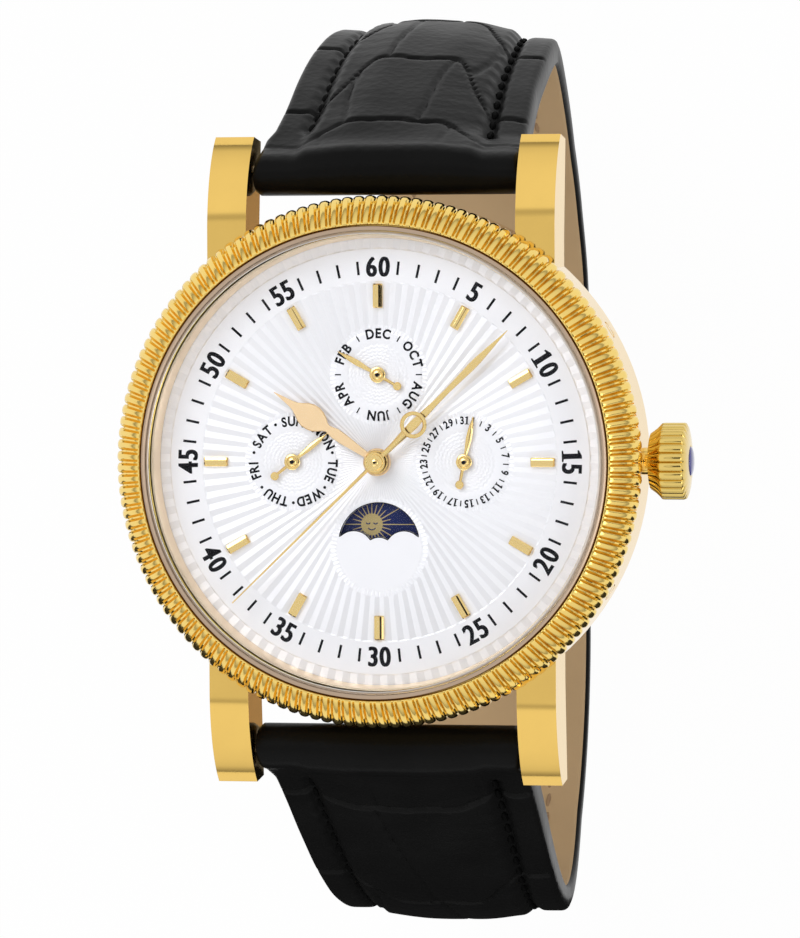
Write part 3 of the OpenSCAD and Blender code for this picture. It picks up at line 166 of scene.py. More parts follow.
class WatchStrapSettings(PropertyGroup):
    scale_depth: length("Scale creases", "Depth of the embossed creases", 0.00034)
    padding: length("Padding", "Rise of the padded middle at the lugs", 0.00015)
    stitch: length("Stitch pitch", "Length of one stitch", 0.0021)
    thread: length("Thread", "Thickness of the thread", 0.0005)
    leather: colour("Leather", "Colour of the outside", 0.004, 0.004, 0.004)
    lining: colour("Lining", "Colour of the inside", 0.58, 0.41, 0.23)


class WatchStageSettings(PropertyGroup):
    distance: length("Camera distance", "From the dial to the camera", 0.4)
    lens: FloatProperty(name="Lens", description="Focal length", default=191.13, unit="CAMERA")
    floor: colour("Floor", "Colour of the floor", 0.9, 0.9, 0.9)


# Shader nodes


def connect(tree, value, socket):
    """Links another socket to this one, or sets a plain value or colour on it."""
    if isinstance(value, bpy.types.NodeSocket):
        tree.links.new(value, socket)
    else:
        socket.default_value = (*value, 1)[:4] if hasattr(value, "__len__") else value


def math_node(tree, operation, *values):
    node = tree.nodes.new("ShaderNodeMath")
    node.operation = operation
    for socket, value in zip(node.inputs, values):
        connect(tree, value, socket)
    return node.outputs[0]


def object_coordinates(tree):
    return tree.nodes.new("ShaderNodeTexCoord").outputs["Object"]


def noise_node(tree, scale, detail, vector=None):
    node = tree.nodes.new("ShaderNodeTexNoise")
    connect(tree, detail, node.inputs["Detail"])
    connect(tree, scale, node.inputs["Scale"])
    connect(tree, vector or object_coordinates(tree), node.inputs["Vector"])
    return node.outputs["Fac"]


def mixed_colour(tree, factor, first, second):
    node = tree.nodes.new("ShaderNodeMix")
    node.data_type = "RGBA"
    for socket, value in zip([s for s in node.inputs if s.enabled], (factor, first, second)):
        connect(tree, value, socket)
    return next(s for s in node.outputs if s.enabled)


def mixed_surface(tree, factor, first, second):
    """The material's surface: two shaders and how much the second one counts."""
    mix = tree.nodes.new("ShaderNodeMixShader")
    for value, socket in zip((factor, first.outputs[0], second.outputs[0]), mix.inputs):
        connect(tree, value, socket)
    connect(tree, mix.outputs[0], tree.nodes["Material Output"].inputs["Surface"])


def seen_by(tree, *rays):
    """1 for the named kinds of ray and 0 for all others."""
    path = tree.nodes.new("ShaderNodeLightPath")
    seen = path.outputs[rays[0]]
    for ray in rays[1:]:
        seen = math_node(tree, "MAXIMUM", seen, path.outputs[ray])
    return seen


# Shader node groups


def effect(name, ins, outs):
    """An empty node group with its sockets: the group, what it is given and what it puts out."""
    group = bpy.data.node_groups.new(name, "ShaderNodeTree")
    for socket, default in ins.items():
        kind = "NodeSocketFloat" if isinstance(default, float) else "NodeSocketColor"
        group.interface.new_socket(socket, in_out="INPUT", socket_type=kind).default_value = default
    for socket in outs:
        kind = "NodeSocketColor" if socket == "Colour" else "NodeSocketFloat"
        group.interface.new_socket(socket, in_out="OUTPUT", socket_type=kind)
    return group, group.nodes.new("NodeGroupInput").outputs, group.nodes.new("NodeGroupOutput").inputs


@cache
def polish_group():
    """Faint smudges in the colour and gloss of polished metal, with fine scratches as height."""
    group, given, out = effect(
        "polish_wear", {"Colour": (0.9, 0.6, 0.2, 1), "Roughness": 0.12, "Smudge": 0.06, "Scale": 300.0},
        ("Colour", "Roughness", "Height"),
    )
    wide = noise_node(group, given["Scale"], 3)
    fine = noise_node(group, math_node(group, "MULTIPLY", given["Scale"], 14.0), 2)
    drift = math_node(group, "MULTIPLY", math_node(group, "SUBTRACT", wide, 0.5), given["Smudge"])
    shade = math_node(group, "MULTIPLY", wide, 0.12)
    connect(group, mixed_colour(group, shade, given["Colour"], (0.25, 0.12, 0.03)), out["Colour"])
    connect(group, math_node(group, "ADD", given["Roughness"], drift), out["Roughness"])
    connect(group, fine, out["Height"])
    return group


@cache
def leather_group():
    """Pores and fine wrinkles of leather, with a slightly uneven colour and gloss."""
    group, given, out = effect(
        "leather_grain",
        {"Colour": (0.01, 0.01, 0.01, 1), "Worn Colour": (0.03, 0.03, 0.03, 1), "Roughness": 0.35, "Scale": 1400.0},
        ("Colour", "Roughness", "Height"),
    )
    pores = group.nodes.new("ShaderNodeTexVoronoi")
    connect(group, given["Scale"], pores.inputs["Scale"])
    connect(group, object_coordinates(group), pores.inputs["Vector"])
    wide = noise_node(group, math_node(group, "MULTIPLY", given["Scale"], 0.16), 4)
    fine = noise_node(group, math_node(group, "MULTIPLY", given["Scale"], 1.7), 3)
    drift = math_node(group, "MULTIPLY", wide, 0.12)
    wrinkles = math_node(group, "MULTIPLY", fine, 0.7)
    connect(group, mixed_colour(group, wide, given["Colour"], given["Worn Colour"]), out["Colour"])
    connect(group, math_node(group, "ADD", given["Roughness"], drift), out["Roughness"])
    connect(group, math_node(group, "ADD", pores.outputs["Distance"], wrinkles), out["Height"])
    return group


@cache
def brush_group():
    """Straight brushing along Y: noise drawn out into fine lines."""
    group, given, out = effect("brushed_lines", {"Roughness": 0.3, "Scale": 9000.0}, ("Roughness", "Height"))
    stretch = group.nodes.new("ShaderNodeVectorMath")
    stretch.operation = "MULTIPLY"
    stretch.inputs[1].default_value = (1.0, 0.02, 1.0)
    connect(group, object_coordinates(group), stretch.inputs[0])
    lines = noise_node(group, given["Scale"], 2, stretch.outputs[0])
    drift = math_node(group, "MULTIPLY", lines, 0.12)
    connect(group, math_node(group, "ADD", given["Roughness"], drift), out["Roughness"])
    connect(group, lines, out["Height"])
    return group


# Materials


def shader(name, colour=(0.8, 0.8, 0.8), **sockets):
    """A material with its Principled shader, and plain values set on the shader's own sockets."""
    material = bpy.data.materials.new(name)
    material.use_nodes = True
    tree = material.node_tree
    bsdf = tree.nodes["Principled BSDF"]
    bsdf.inputs["Base Color"].default_value = (*colour, 1)
    for key, value in sockets.items():
        bsdf.inputs[key.replace("_", " ")].default_value = value
    return material, tree, bsdf


def place_group(tree, bsdf, group, strength, distance=0.00002, **values):
    """Puts a shared group in a material, where it drives the gloss, the bump and, if given one, the colour."""
    node = tree.nodes.new("ShaderNodeGroup")
    node.node_tree = group
    for key, value in values.items():
        connect(tree, value, node.inputs[key.replace("_", " ")])
    connect(tree, node.outputs["Roughness"], bsdf.inputs["Roughness"])
    if "Colour" in values:
        connect(tree, node.outputs["Colour"], bsdf.inputs["Base Color"])
    if strength:
        bump = tree.nodes.new("ShaderNodeBump")
        bump.inputs["Strength"].default_value = strength
        bump.inputs["Distance"].default_value = distance
        connect(tree, node.outputs["Height"], bump.inputs["Height"])
        connect(tree, bump.outputs["Normal"], bsdf.inputs["Normal"])


def polished(name, colour, roughness, smudge):
    material, tree, bsdf = shader(name, colour, Metallic=1.0, Roughness=roughness)
    place_group(tree, bsdf, polish_group(), 0.012, Colour=colour, Roughness=roughness, Smudge=smudge)
    return material


def brushed(name, colour, roughness=0.28):
    material, tree, bsdf = shader(name, colour, Metallic=1.0, Roughness=roughness)
    place_group(tree, bsdf, brush_group(), 0.12, Roughness=roughness)
    return material


def leathery(name, colour, worn, roughness, strength, scale=1400.0, **sockets):
    """Leather, and all else with pores and grain: thread, rubber, ink and lacquer."""
    material, tree, bsdf = shader(name, colour, Roughness=roughness, **sockets)
    place_group(
        tree, bsdf, leather_group(), strength, 0.00006, Colour=colour, Worn_Colour=worn, Roughness=roughness,
        Scale=scale,
    )
    return material


def crystal_material():
    """Clear sapphire: glass for the eye, and open to the light that falls on the dial."""
    material, tree, bsdf = shader(
        "clear_crystal", (0.97, 0.985, 1.0), Roughness=0.0, Transmission_Weight=1.0, IOR=1.1, Metallic=0.0
    )
    clear = tree.nodes.new("ShaderNodeBsdfTransparent")
    mixed_surface(tree, seen_by(tree, "Is Shadow Ray", "Is Diffuse Ray"), bsdf, clear)
    return material


def silvered(name, colour):
    """Silvered dial: a faint sparkle in the gloss over white lacquer."""
    material, tree, bsdf = shader(name, colour, Metallic=0.2, Roughness=0.36, Coat_Weight=0.1)
    place_group(tree, bsdf, polish_group(), 0.05, Roughness=0.32, Smudge=0.08, Scale=900.0)
    return material


def scaled(colour, factor):
    return tuple(c * factor for c in colour)


@cache
def material(name):
    """The named finish, made on its first use."""
    case, dial, strap = (getattr(bpy.context.scene, s) for s in ("watch_case", "watch_dial", "watch_strap"))
    recipes = {
        "gold": lambda: polished("polished_gold", case.gold, 0.09, 0.05),
        "bezel_gold": lambda: polished("bezel_gold", case.bezel_gold, 0.12, 0.05),
        # painted shade: the crown's gold is the bezel gold darkened, for the crown at the side of the case
        "shaded_crown_gold": lambda: polished("shaded_crown_gold", scaled(case.bezel_gold, 0.84), 0.11, 0.05),
        "baton_gold": lambda: polished("baton_gold", case.hand_gold, 0.07, 0.03),
        "hand_gold": lambda: polished("hand_gold", case.hand_gold, 0.16, 0.06),
        "rose_gold": lambda: polished("rose_gold", case.rose_gold, 0.42, 0.1),
        "flange": lambda: polished("flange_gold", (0.93, 0.77, 0.57), 0.4, 0.08),
        # painted reflection: the gasket's dull brown stands in for the dark reflection in the bezel's inner wall
        "gasket": lambda: polished("gasket_ring", (0.5, 0.38, 0.28), 0.35, 0.05),
        "steel": lambda: polished("polished_steel", (0.6, 0.6, 0.62), 0.18, 0.06),
        "plate": lambda: brushed("plated_steel", (0.62, 0.62, 0.64)),
        "brass": lambda: brushed("grained_brass", (0.68, 0.5, 0.2)),
        "blued": lambda: polished("blued_steel", (0.03, 0.06, 0.3), 0.2, 0.05),
        "rubber": lambda: leathery("black_rubber", (0.01, 0.01, 0.01), (0.02, 0.02, 0.02), 0.7, 0.1),
        "crystal": crystal_material,
        "crystal_edge": lambda: polished("frosted_edge", (0.93, 0.92, 0.9), 0.35, 0.05),
        "silver": lambda: silvered("silvered_dial", dial.silver),
        # painted shade: a darker copy of the dial silver for one side of each fold
        "silver_painted_shade": lambda: silvered("silvered_painted_fold_shade", scaled(dial.silver, 0.93)),
        "ink": lambda: leathery(
            "printed_ink", dial.ink, scaled(dial.ink, 1.6), 0.4, 0.02, Specular_IOR_Level=0.1
        ),
        "night": lambda: leathery(
            "night_lacquer", dial.night, scaled(dial.night, 1.3), 0.25, 0.03, Specular_IOR_Level=0.2
        ),
        "star": lambda: polished("pale_gold_print", (0.36, 0.29, 0.14), 0.5, 0.1),
        "cabochon": lambda: leathery(
            "blue_stone", case.cabochon, scaled(case.cabochon, 1.3), 0.05, 0.0, Coat_Weight=1.0
        ),
        "leather": lambda: leathery(
            "black_leather", strap.leather, (0.007, 0.007, 0.007), 0.27, 0.3, Specular_IOR_Level=0.052
        ),
        "lining": lambda: leathery("tan_lining", strap.lining, scaled(strap.lining, 0.82), 0.7, 0.2, 1000.0),
        "thread": lambda: leathery(
            "black_thread", (0.002, 0.002, 0.002), (0.004, 0.004, 0.004), 0.6, 0.3, 5000.0, Specular_IOR_Level=0.02
        ),
        "tan_thread": lambda: leathery("tan_thread", (0.4, 0.27, 0.16), (0.25, 0.16, 0.09), 0.75, 0.3, 5000.0),
    }
    return recipes[name]()


# Meshes, in millimetres until they become objects


class Shape:
    """Points and faces that gather into one mesh, each face marked with its finish."""

    def __init__(self):
        self.verts, self.faces, self.marks = [], [], []

    def add(self, verts, faces, mark=0, place=None):
        start = len(self.verts)
        self.verts += [tuple(place @ Vector(v)) for v in verts] if place else [tuple(v) for v in verts]
        self.faces += [[start + i for i in face] for face in faces]
        self.marks += [mark] * len(faces)
        return self

    def rows(self, rows, loop=False, caps=False, mark=0, place=None):
        """Joins closed rows of equally many points: loop joins the last row to the first, caps close them."""
        n, m = len(rows), len(rows[0])
        faces = []
        for i in range(n if loop else n - 1):
            k = (i + 1) % n
            for j in range(m):
                faces.append([i * m + j, i * m + (j + 1) % m, k * m + (j + 1) % m, k * m + j])
        if caps:
            faces += [list(range(m))[::-1], [(n - 1) * m + j for j in range(m)]]
        return self.add([p for row in rows for p in row], faces, mark, place)

    def turned(self, profile, n=64, place=None, mark=0):
        """Solid of a closed outline of (radius, height) turned about Z."""
        angles = [2 * pi * j / n for j in range(n)]
        rows = [[(r * cos(a), r * sin(a), z) for r, z in profile] for a in angles]
        return self.rows(rows, loop=True, mark=mark, place=place)

    def bar(self, outline, z0, z1, mark=0, place=None):
        """Solid of a flat outline between two heights."""
        rows = [[(x, y, z) for x, y in outline] for z in (z0, z1)]
        return self.rows(rows, caps=True, mark=mark, place=place)


def closed_mesh(mesh):
    """Faces turned outwards, as a solid's are."""
    bm = bmesh.new()
    bm.from_mesh(mesh)
    bmesh.ops.recalc_face_normals(bm, faces=bm.faces)
    bm.to_mesh(mesh)
    bm.free()


def finish_mesh(mesh, finishes, sharp, marks=None):
    """Gives a mesh its finishes, and smooth shading between its sharp edges."""
    mesh.materials.clear()
    for finish in finishes:
        mesh.materials.append(material(finish))
    mesh.polygons.foreach_set("material_index", marks or [0] * len(mesh.polygons))
    mesh.shade_smooth()
    mesh.set_sharp_from_angle(angle=radians(sharp))


def new_object(name, data):
    obj = bpy.data.objects.new(name, data)
    bpy.context.scene.collection.objects.link(obj)
    return obj


def piece(name, shape, finishes, body, stands_for=(), sharp=35):
    """The shape as a named object that rides on a body of the frame."""
    if not shape.faces:
        raise RuntimeError(f"{name} has no faces")
    mesh = bpy.data.meshes.new(name)
    mesh.from_pydata([(x * MM, y * MM, z * MM) for x, y, z in shape.verts], [], shape.faces)
    closed_mesh(mesh)
    finish_mesh(mesh, finishes, sharp, shape.marks)
    obj = new_object(name, mesh)
    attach(obj, body)
    if stands_for:
        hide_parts(*stands_for)


def dressed(node, name, finish, width, segments=2):
    """A copy of a CAD node with its hard edges rounded, in the node's place."""
    mesh = frame["nodes"][node].data.copy()
    mesh.name = name
    bm = bmesh.new()
    bm.from_mesh(mesh)
    bmesh.ops.remove_doubles(bm, verts=bm.verts, dist=WELD)
    bmesh.ops.dissolve_limit(bm, angle_limit=radians(FLAT_ANGLE), verts=bm.verts, edges=bm.edges)
    hard = [e for e in bm.edges if len(e.link_faces) == 2 and e.calc_face_angle(0) > radians(HARD_ANGLE)]
    if not hard:
        raise RuntimeError(f"{node} has no hard edges to round")
    bmesh.ops.bevel(
        bm, geom=hard, offset=width, segments=segments, profile=0.6, affect="EDGES", clamp_overlap=True
    )
    bm.to_mesh(mesh)
    bm.free()
    finish_mesh(mesh, [finish], 40)
    obj = new_object(name, mesh)
    even = obj.modifiers.new("even_shading", "WEIGHTED_NORMAL")
    even.keep_sharp = True
    shaded = bpy.data.meshes.new_from_object(obj.evaluated_get(bpy.context.evaluated_depsgraph_get()))
    obj.modifiers.clear()
    obj.data = shaded
    shaded.name = name
    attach(obj, frame["nodes"][node]["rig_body"])
    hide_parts(node)


def paint(finish, *nodes):
    """A CAD node that keeps its own mesh gets its finish here."""
    for node in nodes:
        finish_mesh(frame["nodes"][node].data, [finish], 30)


def at(x, y, z=0.0, clockwise=0.0):
    """Place for a shape drawn round the origin: turned clockwise as seen on the dial, then moved."""
    return Matrix.Translation((x, y, z)) @ Matrix.Rotation(radians(-clockwise), 4, "Z")


def circle(r, n, centre=(0.0, 0.0)):
    return [(centre[0] + r * sin(2 * pi * i / n), centre[1] + r * cos(2 * pi * i / n)) for i in range(n)]


# Bezel and crown: turned outlines with flutes


def lobe(u, broad, split):
    """Depth across one flute, 0 on its crest and 1 in the groove, which a thin rib may split in two."""
    v = abs(2 * (u % 1) - 1)
    plain = 1 - sqrt(max(0.0, 1 - v**broad))
    twin = exp(-(((v - 0.66) / 0.13) ** 2)) + 0.12 * v
    return plain * (1 - split) + twin * split


def fluted(profile, flutes, samples, place=None, broad=2.6):
    """Turned outline of (radius, height, groove depth, rib), grooved square to its own surface."""
    normals = []
    for before, after in zip(profile[-1:] + profile[:-1], profile[1:] + profile[:1]):
        along = Vector((after[0] - before[0], after[1] - before[1])).normalized()
        normals.append((along.y, -along.x))
    n = flutes * samples
    rows = []
    for j in range(n):
        a = 2 * pi * j / n
        row = []
        for (r, z, depth, split), (nr, nz) in zip(profile, normals):
            f = lobe(j / samples, broad, split) * depth
            row.append(((r - nr * f) * cos(a), (r - nr * f) * sin(a), z - nz * f))
        rows.append(row)
    return Shape().rows(rows, loop=True, place=place)


class WATCH_OT_bezel(Operator):
    """Fluted bezel, the ring round the crystal and the flange inside it"""

    bl_idname = "watch.bezel"
    bl_label = "Bezel"

    def execute(self, context):
        case = context.scene.watch_case
        d = case.flute_depth / MM
        profile = [
            (19.66, 6.72, 0, 0), (20.9, 6.72, 0, 0), (21.12, 6.86, d * 0.5, 0), (21.28, 7.2, d, 0),
            (21.38, 7.7, d, 0), (21.39, 8.2, d, 0), (21.27, 8.62, d, 0.1), (21.04, 9.0, d, 0.4),
            (20.8, 9.3, d, 0.7), (20.55, 9.58, d, 0.9), (20.3, 9.82, d * 0.9, 1), (20.05, 10.04, d * 0.8, 1),
            (19.8, 10.25, d * 0.75, 1), (19.58, 10.42, d * 0.7, 1), (19.4, 10.55, d * 0.65, 1),
            (19.26, 10.64, d * 0.5, 1), (19.14, 10.68, d * 0.2, 1), (19.04, 10.66, 0, 0), (18.98, 10.56, 0, 0),
            (18.97, 9.52, 0, 0), (18.36, 9.52, 0, 0), (18.36, 7.78, 0, 0), (19.66, 7.78, 0, 0),
        ]
        piece("bezel_fluted", fluted(profile, case.flutes, 14), ["bezel_gold"], CASE, ["bezel"])
        flange = Shape().turned([(17.95, 7.41), (18.26, 7.41), (18.26, 9.44), (18.12, 9.44), (18.09, 9.38)], n=240)
        piece("flange_ring", flange, ["flange"], CASE, ["dial_flange"])
        profile = [(18.52, 9.58), (18.93, 9.58), (18.93, 10.48), (18.86, 10.6), (18.72, 10.66)]
        ring = Shape().turned(profile + [(18.58, 10.6), (18.52, 10.5)], n=240)
        # the ring round the crystal carries a painted dark reflection of the bezel's inner wall
        piece("crystal_ring", ring, ["gasket"], CASE, ["crystal_gasket"])
        return {"FINISHED"}


class WATCH_OT_crystal(Operator):
    """Clear crystal"""

    bl_idname = "watch.crystal"
    bl_label = "Crystal"

    def execute(self, context):
        dome = [(18.3 * (1 - i / 12), 10.62 + 0.5 * (1 - (1 - i / 12) ** 2)) for i in range(12)]
        dome.insert(0, (18.46, 10.44))
        dome.insert(0, (18.46, 9.56))
        angles = [2 * pi * j / 128 for j in range(128)]
        shape = Shape().rows([[(r * cos(a), r * sin(a), z) for a in angles] for r, z in dome], caps=True)
        rim = [(18.26, 10.61), (18.3, 10.64), (18.47, 10.47), (18.48, 10.3), (18.44, 10.3)]
        shape.turned(rim, 240, mark=1)
        piece("crystal_clear", shape, ["crystal", "crystal_edge"], CASE, ["crystal"])
        return {"FINISHED"}


class WATCH_OT_case(Operator):
    """Case band with its lugs, the case back, screws and correctors"""

    bl_idname = "watch.case"
    bl_label = "Case"

    def execute(self, context):
        edge = context.scene.watch_case.edge
        dressed("case_middle", "case_polished", "gold", edge * 1.5, 3)
        dressed("case_back", "case_back_polished", "gold", edge * 0.6)
        dressed("back_screws", "case_back_screws", "gold", edge * 0.3)
        for side in ("upper", "lower"):
            dressed(f"corrector_{side}", f"corrector_{side}_button", "gold", edge)
        paint("gold", "crown_tube")
        paint("steel", "spring_bars")
        paint("rubber", "back_gasket")
        return {"FINISHED"}


class WATCH_OT_crown(Operator):
    """Fluted crown with its blue stone"""

    bl_idname = "watch.crown"
    bl_label = "Crown"

    def execute(self, context):
        flutes = context.scene.watch_case.crown_flutes
        along_x = Matrix.Translation((0, 0, 4.15)) @ Matrix.Rotation(pi / 2, 4, "Y")
        profile = [
            (0.62, 21.52, 0), (1.9, 21.52, 0), (2.25, 21.6, 0.03), (2.42, 21.85, 0.16), (2.62, 22.12, 0.2),
            (2.85, 22.36, 0.22), (3.04, 22.53, 0.26), (3.1, 22.66, 0.28), (3.1, 23.4, 0.28), (3.1, 24.3, 0.28),
            (3.06, 24.42, 0.24), (2.95, 24.5, 0.14), (2.75, 24.58, 0.04), (2.45, 24.66, 0), (2.05, 24.73, 0),
            (1.6, 24.78, 0), (1.3, 24.8, 0), (1.22, 24.74, 0), (1.21, 24.46, 0), (0.62, 24.46, 0),
        ]
        profile = [(*station, 0) for station in profile]
        shape = fluted(profile, flutes, 16, along_x, 2.2)
        # the crown's finish is the bezel gold with painted shade
        piece("crown_fluted", shape, ["shaded_crown_gold"], "crown", ["crown"])
        dome = [(0.0, 24.48), (1.19, 24.48), (1.19, 24.78)]
        dome += [(1.19 * cos(radians(a)), 24.78 + 0.3 * sin(radians(a))) for a in range(10, 90, 10)]
        stone = Shape().turned(dome + [(0.0, 25.08)], 48, along_x)
        piece("crown_stone", stone, ["cabochon"], "crown", ["crown_cabochon"])
        return {"FINISHED"}


# Dial


def plate(loops, points, inside, height):
    """Plate over the flat region inside its loops and round its holes, with walls down to its base, and
    the number of its upper faces, which come first."""
    coords, edges = [], []
    for loop in loops:
        start, count = len(coords), len(loop)
        coords += [Vector(p) for p in loop]
        edges += [(start + i, start + (i + 1) % count) for i in range(count)]
    verts, _, cells, *_ = geometry.delaunay_2d_cdt(coords + [Vector(p) for p in points], edges, [], 0, 1e-6)
    faces = []
    for cell in cells:
        x, y = (sum(verts[i][axis] for i in cell) / len(cell) for axis in (0, 1))
        if inside(x, y):
            faces.append(list(cell))
    used = sorted({i for face in faces for i in face})
    index = {i: k for k, i in enumerate(used)}
    faces = [[index[i] for i in face] for face in faces]
    n = len(used)
    sides = dict.fromkeys((a, b) for face in faces for a, b in zip(face, face[1:] + face[:1]))
    walls = [[a, b, b + n, a + n] for a, b in sides if (b, a) not in sides]
    lower = [[i + n for i in face[::-1]] for face in faces]
    flat = [tuple(verts[i]) for i in used]
    points = [(x, y, height(x, y)) for x, y in flat] + [(x, y, PLATE_BASE) for x, y in flat]
    return Shape().add(points, faces + walls + lower), len(faces)


def pleat(x, y, pleats):
    """Height across one fold: 0 on its crest, 1 in its valley."""
    return abs(2 * ((atan2(x, y) / (2 * pi) * pleats) % 1) - 1)


def window_outline():
    """Arched window over the day and night disc, with two humps and a small bump below."""
    def low(x):
        return max([WINDOW_FLOOR] + [cy + sqrt(r * r - (x - cx) ** 2) for cx, cy, r in HUMPS if abs(x - cx) < r])

    # the tips are where the arch meets the outer sides of the humps
    places = [x / 1000 for x in range(2600, 3250)]
    tip = next((x for x in places if ARCH_Y + sqrt(ARCH_R**2 - x**2) < low(x)), places[-1])
    a0 = atan2(low(tip) - ARCH_Y, tip)
    arch = [(ARCH_R * cos(a), ARCH_Y + ARCH_R * sin(a)) for a in (a0 + (pi - 2 * a0) * i / 60 for i in range(61))]
    floor = [-tip + 2 * tip * i / 84 for i in range(1, 84)]
    return arch + [(x, low(x)) for x in floor]


def in_polygon(x, y, outline):
    odd = False
    for (x0, y0), (x1, y1) in zip(outline, outline[1:] + outline[:1]):
        if (y0 > y) != (y1 > y) and x < (x1 - x0) * (y - y0) / (y1 - y0) + x0:
            odd = not odd
    return odd


def rim_lace(r, a):
    """Lace round a small dial: short radial cuts that end in scallops."""
    return 0.06 * abs(sin(36 * a)) if r > 3.5 + 0.1 * abs(cos(36 * a)) else 0.0


def small_dial(centre):
    """Engine turned small dial: waves round its middle, a plain ring for its words, and a lace rim."""
    radii = [0.32] + [0.4 + 0.06 * i for i in range(35)] + [2.6, 2.9, 3.2, *LACE_RADII, ROUND_CUT]
    angles = [2 * pi * j / 288 for j in range(288)]

    def level(r, a):
        if r < 2.48:
            return DIAL_Z - 0.02 - 0.011 * (1 + cos(2 * pi * r / 0.3 + 1.2 * sin(32 * a)))
        return DIAL_Z - 0.012 - rim_lace(r, a)

    rows = [[(centre[0] + r * sin(a), centre[1] + r * cos(a), level(r, a)) for a in angles] for r in radii]
    inner, outer = ([(x, y, SMALL_BASE) for x, y, _ in row] for row in (rows[0], rows[-1]))
    return Shape().rows([inner] + rows + [outer], loop=True)


class WATCH_OT_dial(Operator):
    """Silvered dial with its folds, the small dials and the window"""

    bl_idname = "watch.dial"
    bl_label = "Dial"

    def execute(self, context):
        dial = context.scene.watch_dial
        depth, pleats = dial.pleat_depth / MM, dial.pleats
        centres = [MONTH_AT, DAY_AT, DATE_AT, DISC_AT]

        def height(x, y):
            r = hypot(x, y)
            if r < SUNBURST_R:
                return DIAL_Z - depth * pleat(x, y, pleats) * min(1, r / 9) * min(1, (SUNBURST_R - r) / 0.12 + 0.02)
            if r < MINUTE_RING_R:
                return DIAL_Z
            return DIAL_Z - 0.04 - depth * 1.2 * pleat(x, y, pleats) * min(1, (r - MINUTE_RING_R) / 0.04)

        def outside_rounds(x, y, gap=0.0):
            return all(hypot(x - cx, y - cy) > ROUND_CUT + gap for cx, cy in centres)

        radii = [1.2 + 0.38 * i for i in range(35)]
        radii += [14.38, 14.5, 15.0, 15.6, 16.2, 16.7, 17.08, 17.11, 17.2, 17.5, 17.9]
        points = []
        for r in radii:
            points += [p for p in circle(r, pleats * (6 if r > 6 else 4)) if outside_rounds(*p, 0.05)]
        loops = [circle(DIAL_R, 540), circle(BORE_R, 48)] + [circle(ROUND_CUT, 144, c) for c in centres]
        dish, upper = plate(
            loops, points, lambda x, y: BORE_R < hypot(x, y) < DIAL_R and outside_rounds(x, y), height
        )
        # One side of every fold, in the middle and on the folded edge, takes the darker silver: painted shade of the
        # folds
        for k, face in enumerate(dish.faces[:upper]):
            x, y = (sum(dish.verts[i][axis] for i in face) / len(face) for axis in (0, 1))
            folded = 1.2 < hypot(x, y) < SUNBURST_R or hypot(x, y) > MINUTE_RING_R
            dish.marks[k] = 1 if folded and (atan2(x, y) / (2 * pi) * pleats) % 1 < 0.5 else 0
        piece("dial_sunburst", dish, ["silver", "silver_painted_shade"], CASE, ["dial"], sharp=5)
        for name, centre, _ in CALENDAR_HANDS:
            piece(f"dial_{name}", small_dial(centre), ["silver"], CASE, sharp=50)

        window = window_outline()
        points = []
        for r in (0.5, 1.0, 1.5, 2.0, 2.5, 2.9, 3.2, *LACE_RADII):
            ring = circle(r, 288 if r in LACE_RADII else 48, DISC_AT)
            points += [p for p in ring if not in_polygon(*p, window)]

        def from_disc(x, y):
            return x - DISC_AT[0], y - DISC_AT[1]

        window_plate, _ = plate(
            [circle(ROUND_CUT, 288, DISC_AT), window], points,
            lambda x, y: hypot(*from_disc(x, y)) < ROUND_CUT and not in_polygon(x, y, window),
            lambda x, y: DIAL_Z - 0.004 - rim_lace(hypot(*from_disc(x, y)), atan2(*from_disc(x, y))),
        )
        piece("dial_window_plate", window_plate, ["silver"], CASE, sharp=50)
        return {"FINISHED"}


# Printed figures


# Outline of the figure one, as it is slimmer than the font's
ONE = [
    (0.0, 0.0), (0.62, 0.0), (0.62, 0.07), (0.44, 0.1), (0.44, 1.0), (0.34, 1.0), (0.0, 0.86), (0.0, 0.79),
    (0.2, 0.8), (0.2, 0.1), (0.0, 0.07),
]


@cache
def glyph(char, bold):
    """Points and faces of one letter, one unit high, with its width."""
    if char == "1" and bold:
        foot = Shape().bar([(x, y - 0.5) for x, y in ONE], -0.01, 0.01)
        return foot.verts, foot.faces, 0.62
    curve = bpy.data.curves.new("glyph", "FONT")
    curve.body, curve.size, curve.offset, curve.extrude, curve.resolution_u = char, 1.0, bold, 0.012, 4
    obj = new_object("glyph", curve)
    mesh = bpy.data.meshes.new_from_object(obj.evaluated_get(bpy.context.evaluated_depsgraph_get()))
    verts = [tuple(v.co) for v in mesh.vertices]
    faces = [list(p.vertices) for p in mesh.polygons]
    left, right = min(v[0] for v in verts), max(v[0] for v in verts)
    base = min(v[1] for v in verts)
    tall = max(v[1] for v in verts) - base
    bpy.data.objects.remove(obj)
    bpy.data.curves.remove(curve)
    bpy.data.meshes.remove(mesh)
    return [((x - left) / tall, (y - base) / tall - 0.5, z) for x, y, z in verts], faces, (right - left) / tall


